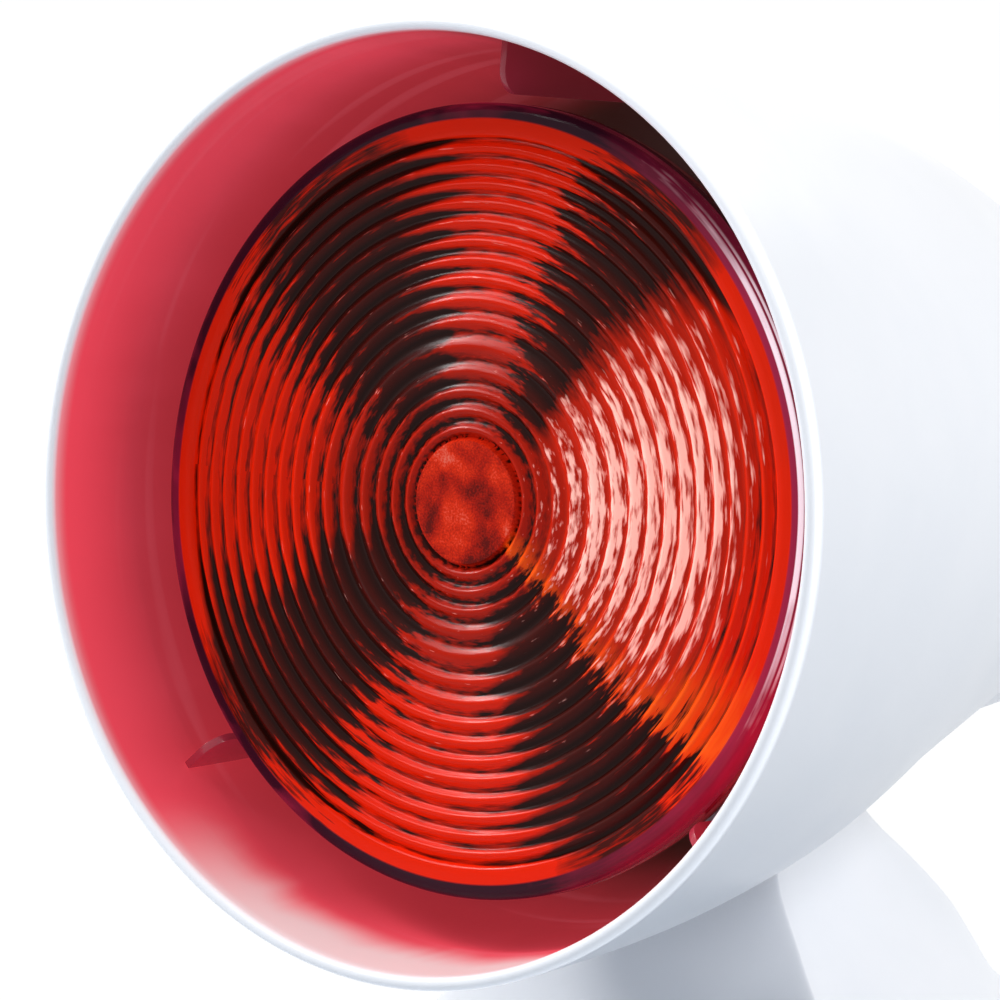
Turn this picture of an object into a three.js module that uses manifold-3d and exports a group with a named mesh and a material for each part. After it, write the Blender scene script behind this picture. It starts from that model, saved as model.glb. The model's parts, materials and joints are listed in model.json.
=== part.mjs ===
// Infrared heat therapy lamp: a bell-shaped shade with a pressed-glass bulb,
// tilting on a flared pedestal. Millimetres, +Z up, the lamp faces -Y.
import * as THREE from "three";
import { mergeVertices } from "three/addons/utils/BufferGeometryUtils.js";
import Module from "manifold-3d";

const wasm = await Module();
wasm.setup();

// Clearances and walls that several pieces share
const SEAT_GAP = 0.3;
const RUN_GAP = 0.4;
const EMBED = 1.2;
const CUT_OVERRUN = 2;
const MERGE_DISTANCE = 1e-4;

// Round pieces, in sides, and the steps of their curves
const SHADE_SIDES = 40;
const BULB_SIDES = 40;
const CAP_SIDES = 24;
const SMALL_SIDES = 16;
const SCREW_SIDES = 8;
const ROUND_STEPS = 6;
const CORNER_STEPS = 3;

// Shade: a bell on an axis that runs from the middle of its rim to the back
const RIM_ROOM = 12.3;
const SHADE_WALL = 2.2;
const SHADE_SHORT_OF_BULB = 13;
const RIM_BEVEL = 0.7;
const BELL_STEPS = 9;
// each row: depth over length, radius over rim radius, rise of the centre over rim radius
const BELL_SHARES = [
  [0, 1, 0],
  [0.122, 0.987, 0.003],
  [0.285, 0.96, 0.012],
  [0.488, 0.906, 0.035],
  [0.691, 0.823, 0.076],
  [0.854, 0.752, 0.094],
  [1, 0.679, 0.097],
];

// Three fins inside the shade that keep the bulb in the middle
const FIN_ANGLES_DEG = [1, 134, -133];
const FIN_THICKNESS = 1.2;
const FIN_FRONT_DEPTH = 14.5;
const FIN_LENGTH = 38;
const FIN_CORNER = 4;
const FIN_BULB_GAP = 1.4;

// Rear cover: a tapering cup that closes the back of the head
const COVER_BACK_ROOM = 20.8;
const COVER_STEP = 0.5;
const COVER_WALL = 2.2;
const COVER_STEPS = 8;
const COVER_SPIGOT_LENGTH = 5;
const COVER_SPIGOT_WALL = 1.6;
const COVER_SHARES = [
  [0, 1, 1],
  [0.25, 0.934, 0.8],
  [0.5, 0.863, 0.585],
  [0.75, 0.767, 0.35],
  [0.9, 0.637, 0.25],
  [0.97, 0.478, 0.225],
  [1, 0.29, 0.225],
];
const VENT_COUNT = 14;
const VENT_WIDTH = 3;
const VENT_LENGTH = 20;
const VENT_START = 22;
const VENT_FREE_SHARE = 0.14;

// Bulb: pressed glass on a screw cap; it sets the size of the head
const FLANGE_RADIUS = 61;
const FLANGE_DEPTH = 16.5;
const LENS_CROWN = 1.8;
const LENS_THICKNESS = 4;
const LENS_CENTRE_RADIUS = 12.6;
const LENS_RING_MARGIN = 1.775;
const LENS_RING_COUNT = 15;
const LENS_RING_DEPTH = 0.8;
const LENS_SHOULDER = 2.4;
const FLANGE_HEIGHT = 4.6;
const BULB_LENGTH = 136;
const GLASS_WALL = 2.6;
const REFLECTOR_STEPS = 9;
// each row: depth over reflector length, radius over flange radius
const REFLECTOR_SHARES = [
  [0, 1],
  [0.04, 0.99],
  [0.16, 0.935],
  [0.32, 0.845],
  [0.49, 0.725],
  [0.65, 0.595],
  [0.79, 0.465],
  [0.91, 0.37],
  [1, 0.325],
];
const FILAMENT_SPAN = 22;
const FILAMENT_RADIUS = 0.7;
const FILAMENT_DEPTH_SHARE = 0.62;
const POST_RADIUS = 0.7;
const CAP_SKIRT_RADIUS = 19.2;
const CAP_SKIRT_LENGTH = 6;
const CAP_THREAD_RADIUS = 13.2;
const CAP_THREAD_DEPTH = 0.9;
const CAP_THREAD_PITCH = 3.6;
const CAP_THREAD_TURNS = 5;
const CAP_CONE_LENGTH = 4;
const CAP_END_RADIUS = 9;
const CAP_END_LENGTH = 1.6;
const INSULATOR_LENGTH = 5.5;
const INSULATOR_END_RADIUS = 5;
const TIP_RADIUS = 4.8;
const TIP_LENGTH = 2.6;

// Lampholder: ceramic body with a metal sleeve and a centre contact
const HOLDER_WALL = 5;
const HOLDER_SLEEVE_WALL = 0.8;
const HOLDER_FLOOR = 6.4;
const HOLDER_TIP_ROOM = 3.8;
const HOLDER_CHAMFER = 1.5;
const CONTACT_WIDTH = 6;
const CONTACT_THICKNESS = 0.9;
const CONTACT_REACH = 8.5;
const HOLDER_SCREW_OFFSET = 11.5;
const HOLDER_SCREW_RADIUS = 1.5;
const HOLDER_SCREW_HOLD = 4.5;

// Tilt hinge: two cheeks on the stand between the arms of a steel yoke
const PIVOT_BEFORE_PARTING = 21;
const PIVOT_ABOVE_EDGE = 4.66;
const PIVOT_HEIGHT = 75;
const REST_TILT_DEG = 7.1;
const CHEEK_RADIUS = 8.5;
const CHEEK_INNER = 7;
const CHEEK_THICKNESS = 5;
const WASHER_THICKNESS = 0.7;
const WASHER_RADIUS = 6;
const YOKE_SHEET = 2;
const YOKE_END_RADIUS = 6.3;
const YOKE_ARM_TOP_SHARE = 0.225;
const YOKE_ARM_HEIGHT_SHARE = 0.585;
const YOKE_PLATE_HALF_WIDTH = 24.5;
const YOKE_PLATE_ABOVE = 19;
const YOKE_TAB_MARGIN = 3.8;
const YOKE_TAB_HEIGHT = 6;
const PIVOT_SCREW_RADIUS = 2.5;
const PIVOT_SCREW_HEAD_RADIUS = 4.8;
const PIVOT_SCREW_HEAD = 2.6;
const SLOT_FRONT = 25;
const SLOT_BACK = 26;
const SLOT_SIDE_GAP = 4.4;

// Screws that hold the head together
const FRAME_BOSS_TURN_DEG = 34.2;
const FRAME_BOSS_INSET = 7.8;
const FRAME_BOSS_LENGTH = 9;
const FRAME_BOSS_WEB = 2.4;
const FRAME_WEB_REACH = 16;
const BOSS_RADIUS = 4;
const COVER_SCREW_X = 19.4;
const COVER_SCREW_ABOVE = 14;
const COVER_SCREW_SUNK = 9;
const SMALL_SCREW_RADIUS = 1.5;
const SMALL_SCREW_HEAD_RADIUS = 2.9;
const SMALL_SCREW_HEAD = 2;
const SCREW_HOLD = 6;

// Cable inside the lamp
const CABLE_RADIUS = 2.6;
const CABLE_SIDES = 10;
const CABLE_STEPS = 12;
const LEAD_RADIUS = 1.7;

// Stand: a flared pedestal with a flat front between two creases
const FOOT_HALF_WIDTH = 71;
const FOOT_FRONT = 80;
const FOOT_REAR = 70;
const FOOT_CREASE = 30;
const NECK_DROP = 13;
const STAND_WALL = 3;
const STAND_REAR_SIDES = 22;
const STAND_FRONT_SIDES = 8;
const STAND_STEPS = 11;
const STAND_TOP_SQUARE_SHARE = 0.18;
// each row: height over stand top, then half width over the foot's, crease over the foot's,
// bulge of the front over the foot's and reach of the rear over the foot's
const STAND_SHARES = [
  [0.024, 0.979, 1, 0.97, 0.979],
  [0.07, 1, 1, 1, 1],
  [0.125, 0.985, 1, 0.96, 0.99],
  [0.165, 0.93, 1.01, 0.84, 0.965],
  [0.226, 0.845, 1.04, 0.62, 0.921],
  [0.323, 0.725, 1.09, 0.36, 0.8],
  [0.435, 0.6, 1.115, 0.16, 0.685],
  [0.532, 0.525, 1.11, 0.09, 0.64],
  [0.629, 0.458, 1.075, 0.05, 0.586],
  [0.742, 0.366, 0.935, 0.03, 0.49],
  [0.879, 0.25, 0.715, 0.03, 0.355],
  [1, 0.2, 0.5, 0.03, 0.25],
];

// Base: plate, weight, pads and screws
const PAD_PROUD = 1.5;
const PAD_RADIUS = 7;
const PAD_SUNK = 1.2;
const PLATE_THICKNESS = 3;
const PLATE_GAP = 0.5;
const PAD_SIDE_SHARE = 0.563;
const PAD_FRONT_INSET = 22;
const PAD_REAR_INSET = 34;
const BASE_POST_RADIUS = 4.5;
const BASE_POST_SIDE_SHARE = 0.62;
const BASE_POST_FRONT_INSET = 40;
const BASE_POST_REAR_INSET = 56;
const BALLAST_SIDE_SHARE = 0.465;
const BALLAST_DEPTH = 62;
const BALLAST_HEIGHT = 8;
const BALLAST_CORNER = 10;
const BALLAST_BACK = 4;
const TERMINAL_WIDTH = 24;
const TERMINAL_DEPTH = 12;
const TERMINAL_HEIGHT = 9;
const TERMINAL_WELL_RADIUS = 1.8;
const TERMINAL_WELL_DEPTH = 4;
const TERMINAL_BACK = 6;

// Cord gland low on the back of the foot
const GLAND_ABOVE_PLATE = 1.2;
const GLAND_BORE = 3.5;
const GLAND_NECK_RADIUS = 4.9;
const GLAND_FLANGE_RADIUS = 6.2;
const GLAND_NECK_LENGTH = 14;
const GLAND_FLANGE_LENGTH = 2.4;
const GLAND_BOSS_RADIUS = 7;
const GLAND_SUNK = 1;

// Rocker switch on the back of the stand, above the gland
const SWITCH_HEIGHT_SHARE = 0.5;
const SWITCH_SUNK = 2.6;
const SWITCH_FRAME_WIDTH = 15;
const SWITCH_FRAME_LENGTH = 21;
const SWITCH_FRAME_THICKNESS = 2;
const SWITCH_BODY_WIDTH = 12.4;
const SWITCH_BODY_LENGTH = 18.4;
const SWITCH_BODY_DEPTH = 13;
const SWITCH_WALL = 1.4;
const SWITCH_POCKET_DEPTH = 7;
const SWITCH_PAD_MARGIN = 2.4;
const SWITCH_PAD_DEPTH = 9;
const ROCKER_THROW_DEG = 12;
const ROCKER_RISE = 2.2;
const ROCKER_SKIRT = 3.4;
const ROCKER_PIN_RADIUS = 0.9;
const ROCKER_PIN_LENGTH = 0.7;

// Finishes
const WHITE_PLASTIC = { color: 0xf1f3f7, roughness: 0.32, metalness: 0 };
const GREY_PLASTIC = { color: 0xd3d8df, roughness: 0.45, metalness: 0 };
const BLACK_PLASTIC = { color: 0x1b1c1f, roughness: 0.5, metalness: 0 };
const RUBBER = { color: 0x2a2b2e, roughness: 0.85, metalness: 0 };
const STEEL = { color: 0xb5b9bf, roughness: 0.35, metalness: 1 };
const BRASS = { color: 0xc9a24a, roughness: 0.3, metalness: 1 };
const CAST_IRON = { color: 0x4a4c50, roughness: 0.7, metalness: 0.9 };
const CERAMIC = { color: 0xeeebe2, roughness: 0.4, metalness: 0 };
const RUBY_GLASS = { color: 0xe02a0e, roughness: 0.12, metalness: 0 };
const DARK_GLASS = { color: 0x7a1a34, roughness: 0.15, metalness: 0 };
const TUNGSTEN = { color: 0x8c8f94, roughness: 0.4, metalness: 1 };
const CABLE_GREY = { color: 0x8e939a, roughness: 0.6, metalness: 0 };

// Helpers
const radians = THREE.MathUtils.degToRad;

function solidOf(geometry) {
  const bare = geometry.index ? geometry.toNonIndexed() : geometry.clone();
  bare.deleteAttribute("normal");
  bare.deleteAttribute("uv");
  const merged = mergeVertices(bare, MERGE_DISTANCE);
  return new wasm.Manifold(
    new wasm.Mesh({
      numProp: 3,
      vertProperties: new Float32Array(merged.attributes.position.array),
      triVerts: new Uint32Array(merged.index.array),
    }),
  );
}

function geometryOf(solid) {
  const mesh = solid.getMesh();
  const geometry = new THREE.BufferGeometry();
  const positions = new Float32Array(mesh.vertProperties);
  geometry.setAttribute("position", new THREE.BufferAttribute(positions, 3));
  geometry.setIndex(new THREE.BufferAttribute(new Uint32Array(mesh.triVerts), 1));
  const flat = geometry.toNonIndexed();
  flat.computeVertexNormals();
  return flat;
}

// Joins and cuts geometries that are already in place.
function carve(base, added, removed) {
  let solid = solidOf(base);
  for (const extra of added) solid = solid.add(solidOf(extra));
  for (const tool of removed) solid = solid.subtract(solidOf(tool));
  return geometryOf(solid);
}

function keptInside(geometry, envelope) {
  return geometryOf(solidOf(geometry).intersect(solidOf(envelope)));
}

// A body turned on the Y axis: the profile runs anticlockwise in (radius, depth).
function turned(profile, sides) {
  let doubleArea = 0;
  profile.forEach((p, i) => {
    const q = profile[(i + 1) % profile.length];
    doubleArea += p.x * q.y - q.x * p.y;
  });
  const ordered = doubleArea > 0 ? profile.slice() : profile.slice().reverse();
  const closed = ordered[0].x === 0 && ordered[ordered.length - 1].x === 0;
  if (!closed) ordered.push(ordered[0].clone());
  return new THREE.LatheGeometry(ordered, sides);
}

function point(radius, depth) {
  return new THREE.Vector2(radius, depth);
}

// A turned profile may start and end on the axis anywhere in its list.
function turnedOnAxis(profile, sides) {
  const last = profile[profile.length - 1];
  return turned([point(0, profile[0].y), ...profile, point(0, last.y)], sides);
}

function rodY(radius, fromY, toY, sides) {
  const rod = new THREE.CylinderGeometry(radius, radius, toY - fromY, sides);
  return rod.translate(0, (fromY + toY) / 2, 0);
}

function rodX(radius, fromX, toX, sides) {
  return rodY(radius, -toX, -fromX, sides).rotateZ(Math.PI / 2);
}

function rodZ(radius, fromZ, toZ, sides) {
  return rodY(radius, fromZ, toZ, sides).rotateX(Math.PI / 2);
}

function block(low, high) {
  const size = high.clone().sub(low);
  const middle = high.clone().add(low).multiplyScalar(0.5);
  return new THREE.BoxGeometry(size.x, size.y, size.z).translate(middle.x, middle.y, middle.z);
}

function vec(x, y, z) {
  return new THREE.Vector3(x, y, z);
}

// Shapes drawn in (Y, Z) and given a width along X.
function extrudedAlongX(shape, fromX, toX, curveSegments) {
  const geometry = new THREE.ExtrudeGeometry(shape, {
    depth: toX - fromX,
    bevelEnabled: false,
    curveSegments,
  });
  const basis = new THREE.Matrix4().makeBasis(vec(0, 1, 0), vec(0, 0, 1), vec(1, 0, 0));
  return geometry.applyMatrix4(basis).translate(fromX, 0, 0);
}

// Shapes drawn in (X, Z) and given a depth along Y.
function extrudedBack(shape, fromY, toY, curveSegments) {
  const options = { depth: toY - fromY, bevelEnabled: false, curveSegments };
  return new THREE.ExtrudeGeometry(shape, options).rotateX(Math.PI / 2).translate(0, toY, 0);
}

// Shapes drawn in (X, Y) and given a height along Z.
function extrudedUp(shape, fromZ, toZ, curveSegments) {
  const options = { depth: toZ - fromZ, bevelEnabled: false, curveSegments };
  return new THREE.ExtrudeGeometry(shape, options).translate(0, 0, fromZ);
}

function roundedRectangle(halfWidth, halfDepth, corner, middleY) {
  const shape = new THREE.Shape();
  const near = middleY - halfDepth;
  const far = middleY + halfDepth;
  shape.moveTo(corner - halfWidth, near);
  shape.lineTo(halfWidth - corner, near);
  shape.absarc(halfWidth - corner, near + corner, corner, -Math.PI / 2, 0, false);
  shape.absarc(halfWidth - corner, far - corner, corner, 0, Math.PI / 2, false);
  shape.absarc(corner - halfWidth, far - corner, corner, Math.PI / 2, Math.PI, false);
  shape.absarc(corner - halfWidth, near + corner, corner, Math.PI, Math.PI * 1.5, false);
  return shape;
}

// A round cable along a smooth curve.
function tube(points, radius, steps) {
  const section = new THREE.Shape().absarc(0, 0, radius, 0, Math.PI * 2, false);
  const path = new THREE.CatmullRomCurve3(points);
  return new THREE.ExtrudeGeometry(section, {
    steps,
    extrudePath: path,
    curveSegments: CABLE_SIDES / 2,
  });
}

// A screw along Y: its head at headY, its shank towards tipY.
function screwY(x, z, headY, tipY, radius, headRadius, headHeight) {
  const way = Math.sign(headY - tipY);
  const profile = [
    point(0, 0),
    point(radius, 0),
    point(radius, Math.abs(headY - tipY)),
    point(headRadius, Math.abs(headY - tipY)),
    point(headRadius, Math.abs(headY - tipY) + headHeight / 2),
    point(headRadius / 2, Math.abs(headY - tipY) + headHeight),
    point(0, Math.abs(headY - tipY) + headHeight),
  ];
  const geometry = turned(profile, SCREW_SIDES);
  if (way < 0) geometry.rotateX(Math.PI);
  return geometry.translate(x, tipY, z);
}

function addPiece(parent, name, geometry, finish) {
  const mesh = new THREE.Mesh(geometry, new THREE.MeshStandardMaterial(finish));
  mesh.name = name;
  parent.add(mesh);
  return mesh;
}

// Sizes of the head that follow from the bulb's
const RIM_RADIUS = FLANGE_RADIUS + RIM_ROOM;
const SHADE_LENGTH = BULB_LENGTH - SHADE_SHORT_OF_BULB;
const PIVOT_BEHIND_RIM = SHADE_LENGTH - PIVOT_BEFORE_PARTING;
const TIP_END_Y = FLANGE_DEPTH - LENS_CROWN + BULB_LENGTH;
const THREAD_LENGTH = CAP_THREAD_PITCH * CAP_THREAD_TURNS;
const CAP_LENGTH = CAP_SKIRT_LENGTH + CAP_CONE_LENGTH + THREAD_LENGTH + CAP_END_LENGTH;
const CAP_FRONT_Y = TIP_END_Y - TIP_LENGTH - INSULATOR_LENGTH - SEAT_GAP * 2 - CAP_LENGTH;
const NECK_END_Y = CAP_FRONT_Y - SEAT_GAP;
const SEAM_Y = FLANGE_DEPTH + FLANGE_HEIGHT;
const REFLECTOR_LENGTH = NECK_END_Y - SEAM_Y;
const HOLDER_BACK_Y = TIP_END_Y + HOLDER_TIP_ROOM + HOLDER_FLOOR;
const YOKE_PLATE_Y = HOLDER_BACK_Y + SEAT_GAP;
const YOKE_BACK_Y = YOKE_PLATE_Y + YOKE_SHEET;
const HEAD_LENGTH = YOKE_BACK_Y + COVER_BACK_ROOM;
const COVER_LENGTH = HEAD_LENGTH - SHADE_LENGTH;
const COVER_SCREW_SEAT = HEAD_LENGTH - COVER_SCREW_SUNK;

// Curves of the head, from their tables of shares
const SHADE_REAR_RADIUS = RIM_RADIUS * BELL_SHARES[BELL_SHARES.length - 1][1];
const SHADE_REAR_RISE = RIM_RADIUS * BELL_SHARES[BELL_SHARES.length - 1][2];
const COVER_FRONT_RADIUS = SHADE_REAR_RADIUS - COVER_STEP;
const PIVOT_BELOW_AXIS = SHADE_REAR_RADIUS - SHADE_REAR_RISE - PIVOT_ABOVE_EDGE;

// The bosses that take the yoke's screws stand inside the shade's rear edge
const frameBossTurn = radians(FRAME_BOSS_TURN_DEG);
const frameBossReach = SHADE_REAR_RADIUS - FRAME_BOSS_INSET;
const FRAME_BOSS_X = frameBossReach * Math.sin(frameBossTurn);
const FRAME_BOSS_BELOW = frameBossReach * Math.cos(frameBossTurn) - SHADE_REAR_RISE;

function bellRow([depth, radius, rise]) {
  return vec(depth * SHADE_LENGTH, radius * RIM_RADIUS, rise * RIM_RADIUS);
}

function coverRow([depth, radius, rise]) {
  const s = SHADE_LENGTH + depth * COVER_LENGTH;
  return vec(s, radius * COVER_FRONT_RADIUS, rise * SHADE_REAR_RISE);
}

function sampled(rows, steps) {
  return new THREE.CatmullRomCurve3(rows).getSpacedPoints(steps);
}

const bellLine = sampled(BELL_SHARES.map(bellRow), BELL_STEPS);
const coverLine = sampled(COVER_SHARES.map(coverRow), COVER_STEPS);

// Value of one column of a sampled line at a depth.
function along(line, depth, column) {
  const last = line.length - 1;
  if (depth <= line[0].x) return line[0][column];
  if (depth >= line[last].x) return line[last][column];
  const i = line.findIndex((row) => row.x > depth);
  const before = line[i - 1];
  const after = line[i];
  const part = (depth - before.x) / (after.x - before.x);
  return before[column] + part * (after[column] - before[column]);
}

function riseAt(depth) {
  return along(depth < SHADE_LENGTH ? bellLine : coverLine, depth, "z");
}

function headRadiusAt(depth) {
  return along(depth < SHADE_LENGTH ? bellLine : coverLine, depth, "y");
}

// Lifts every ring of a turned body by the rise of the head's centre line.
function lifted(geometry) {
  const position = geometry.attributes.position;
  for (let i = 0; i < position.count; i += 1) {
    position.setZ(i, position.getZ(i) + riseAt(position.getY(i)));
  }
  return geometry;
}

// Offsets a line inwards, square to its slope.
function inwards(line, wall) {
  return line.map((row, i) => {
    const before = line[Math.max(i - 1, 0)];
    const after = line[Math.min(i + 1, line.length - 1)];
    const run = point(after.x - before.x, after.y - before.y).normalize();
    return point(row.y - wall * run.x, row.x + wall * run.y);
  });
}

// Distance from the head's axis to the shade's inner wall at a turn from straight up.
function shadeInnerAt(depth, turn) {
  const rise = riseAt(depth);
  const radius = headRadiusAt(depth) - SHADE_WALL;
  const across = rise * Math.sin(turn);
  return rise * Math.cos(turn) + Math.sqrt(radius * radius - across * across);
}

// Shade shell
function shadeSolid(inset) {
  const outer = bellLine.map((row) => point(row.y - inset, row.x));
  return lifted(turnedOnAxis(outer, SHADE_SIDES));
}

function shadeTube() {
  const outer = bellLine.map((row) => point(row.y, row.x));
  outer[0].x -= RIM_BEVEL;
  outer.splice(1, 0, point(bellLine[0].y, RIM_BEVEL));
  const inner = inwards(bellLine, SHADE_WALL).map((p) => point(p.x, Math.min(p.y, SHADE_LENGTH)));
  inner[0].y = 0;
  inner[0].x += RIM_BEVEL;
  inner.splice(1, 0, point(inner[0].x - RIM_BEVEL, RIM_BEVEL));
  inner[inner.length - 1].y = SHADE_LENGTH;
  return lifted(turned([...outer, ...inner.reverse()], SHADE_SIDES));
}

function finGeometry(angleDeg) {
  const turn = radians(angleDeg);
  const innerEdge = FLANGE_RADIUS + FIN_BULB_GAP;
  const front = FIN_FRONT_DEPTH;
  const back = front + FIN_LENGTH;
  const shape = new THREE.Shape();
  shape.moveTo(front, shadeInnerAt(front, turn) + EMBED);
  const corner = innerEdge + FIN_CORNER;
  shape.absarc(front + FIN_CORNER, corner, FIN_CORNER, Math.PI, Math.PI * 1.5, false);
  shape.lineTo(back - FIN_CORNER, innerEdge);
  shape.lineTo(back, shadeInnerAt(back, turn) + EMBED);
  for (const row of bellLine.slice().reverse()) {
    if (row.x > front && row.x < back) shape.lineTo(row.x, shadeInnerAt(row.x, turn) + EMBED);
  }
  const half = FIN_THICKNESS / 2;
  return extrudedAlongX(shape, -half, half, CORNER_STEPS).rotateY(turn);
}

function frameBoss(side) {
  const rear = SHADE_LENGTH - YOKE_SHEET - SEAT_GAP;
  const boss = rodY(BOSS_RADIUS, rear - FRAME_BOSS_LENGTH, rear, SMALL_SIDES);
  return boss.translate(side * FRAME_BOSS_X, 0, -FRAME_BOSS_BELOW);
}

// The web that carries a frame boss from the shade's wall.
function frameBossWeb(side) {
  const rear = SHADE_LENGTH - YOKE_SHEET - SEAT_GAP;
  const half = FRAME_BOSS_WEB / 2;
  const low = vec(-half, rear - FRAME_BOSS_LENGTH, -FRAME_WEB_REACH);
  const web = block(low, vec(half, rear, -BOSS_RADIUS / 2)).rotateY(-side * frameBossTurn);
  return web.translate(side * FRAME_BOSS_X, 0, -FRAME_BOSS_BELOW);
}

// The slot under the head that the stand's cheeks pass through.
function neckSlot() {
  const halfWidth = CHEEK_INNER + CHEEK_THICKNESS + SLOT_SIDE_GAP;
  const top = -PIVOT_BELOW_AXIS;
  const low = vec(-halfWidth, PIVOT_BEHIND_RIM - SLOT_FRONT, -RIM_RADIUS);
  return block(low, vec(halfWidth, PIVOT_BEHIND_RIM + SLOT_BACK, top));
}

function shadeShell() {
  const fins = FIN_ANGLES_DEG.map(finGeometry);
  const envelope = shadeSolid(SHADE_WALL - EMBED);
  const webs = [-1, 1].map((side) => keptInside(frameBossWeb(side), envelope));
  const bosses = [-1, 1].map(frameBoss);
  const pilot = SMALL_SCREW_RADIUS + SEAT_GAP / 2;
  const pilots = [-1, 1].map((side) =>
    rodY(pilot, SHADE_LENGTH - SCREW_HOLD - CUT_OVERRUN, SHADE_LENGTH, SCREW_SIDES).translate(
      side * FRAME_BOSS_X,
      0,
      -FRAME_BOSS_BELOW,
    ),
  );
  return carve(shadeTube(), [...fins, ...bosses, ...webs], [neckSlot(), ...pilots]);
}

// Rear cover
function coverShellGeometry() {
  const front = SHADE_LENGTH + SEAT_GAP;
  const outer = coverLine.map((row) => point(row.y, row.x));
  outer[0].y = front;
  const floor = HEAD_LENGTH - COVER_WALL;
  const inner = inwards(coverLine, COVER_WALL).map((p) => point(p.x, Math.min(p.y, floor)));
  const spigotOuter = SHADE_REAR_RADIUS - SHADE_WALL - RUN_GAP;
  const spigotInner = spigotOuter - COVER_SPIGOT_WALL;
  const spigotFront = SHADE_LENGTH - COVER_SPIGOT_LENGTH;
  const mouth = [
    point(spigotInner, front + COVER_WALL),
    point(spigotInner, spigotFront),
    point(spigotOuter, spigotFront),
    point(spigotOuter, front),
  ];
  const inside = inner.filter((p) => p.y > front + COVER_WALL * 2 && p.x > 0);
  const profile = [
    point(0, floor),
    point(inside[inside.length - 1].x, floor),
    ...inside.reverse().slice(1),
    ...mouth,
    ...outer,
    point(0, HEAD_LENGTH),
  ];
  return lifted(turned(profile, SHADE_SIDES));
}

function ventTool(index) {
  const turn = ((index + 0.5) / VENT_COUNT) * Math.PI * 2;
  const from = SHADE_LENGTH + VENT_START;
  const reach = SHADE_REAR_RADIUS;
  const half = vec(VENT_WIDTH / 2, VENT_LENGTH / 2, 0);
  const tool = block(vec(-half.x, -half.y, reach / 2), vec(half.x, half.y, reach + CUT_OVERRUN));
  tool.rotateY(turn);
  return tool.translate(0, from + VENT_LENGTH / 2, riseAt(from));
}

// Leaves room in the cover's spigot for a frame boss, its web and its tab.
function tabNotch(side) {
  const half = BOSS_RADIUS + RUN_GAP;
  const low = vec(-half, SHADE_LENGTH - FRAME_BOSS_LENGTH, -FRAME_WEB_REACH);
  const notch = block(low, vec(half, SHADE_LENGTH + SEAT_GAP, half)).rotateY(-side * frameBossTurn);
  return notch.translate(side * FRAME_BOSS_X, 0, -FRAME_BOSS_BELOW);
}

function coverScrewPlaces() {
  return [-1, 1].map((side) => ({ x: side * COVER_SCREW_X, z: COVER_SCREW_ABOVE }));
}

function rearCover() {
  const half = COVER_WALL / 2;
  const middle = coverLine.map((row) => point(row.y - half, row.x - half));
  const envelope = lifted(turnedOnAxis(middle, SHADE_SIDES));
  const places = coverScrewPlaces();
  const posts = places.map(({ x, z }) =>
    keptInside(
      rodY(BOSS_RADIUS, YOKE_BACK_Y + SEAT_GAP, HEAD_LENGTH, SMALL_SIDES).translate(x, 0, z),
      envelope,
    ),
  );
  const wellRadius = SMALL_SCREW_HEAD_RADIUS + RUN_GAP;
  const wells = places.map(({ x, z }) =>
    rodY(wellRadius, COVER_SCREW_SEAT, HEAD_LENGTH + CUT_OVERRUN, SMALL_SIDES).translate(x, 0, z),
  );
  const holes = places.map(({ x, z }) =>
    rodY(SMALL_SCREW_RADIUS + SEAT_GAP, YOKE_BACK_Y, HEAD_LENGTH, SCREW_SIDES).translate(x, 0, z),
  );
  const vents = Array.from({ length: VENT_COUNT }, (_, i) => i).filter(ventIsClear).map(ventTool);
  const notches = [tabNotch(-1), tabNotch(1)];
  return carve(coverShellGeometry(), posts, [neckSlot(), ...notches, ...wells, ...holes, ...vents]);
}

// The vents leave the bottom free, where the cable runs.
function ventIsClear(index) {
  const share = (index + 0.5) / VENT_COUNT;
  return Math.abs(share - 0.5) > VENT_FREE_SHARE / 2;
}

function buildShade(axis) {
  addPiece(axis, "shade_shell", shadeShell(), WHITE_PLASTIC);
  addPiece(axis, "rear_cover", rearCover(), WHITE_PLASTIC);
  coverScrewPlaces().forEach(({ x, z }, i) => {
    const seat = COVER_SCREW_SEAT + SEAT_GAP;
    const tip = YOKE_PLATE_Y - YOKE_SHEET;
    const radius = SMALL_SCREW_RADIUS;
    const geometry = screwY(x, z, seat, tip, radius, SMALL_SCREW_HEAD_RADIUS, SMALL_SCREW_HEAD);
    addPiece(axis, ["cover_screw_left", "cover_screw_right"][i], geometry, STEEL);
  });
}

// Bulb
const LENS_FRONT = FLANGE_DEPTH - LENS_CROWN;
const LENS_EDGE = FLANGE_RADIUS - LENS_SHOULDER;
const RINGS_WIDTH = LENS_EDGE - LENS_RING_MARGIN - LENS_CENTRE_RADIUS;
const LENS_RING_PITCH = RINGS_WIDTH / (LENS_RING_COUNT - 1 / 2);
const CAP_THREAD_Y = CAP_FRONT_Y + CAP_SKIRT_LENGTH + CAP_CONE_LENGTH;
const CAP_END_Y = CAP_FRONT_Y + CAP_LENGTH;

function lensSurface(radius) {
  const share = radius / FLANGE_RADIUS;
  return LENS_FRONT + LENS_CROWN * share * share;
}

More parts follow.
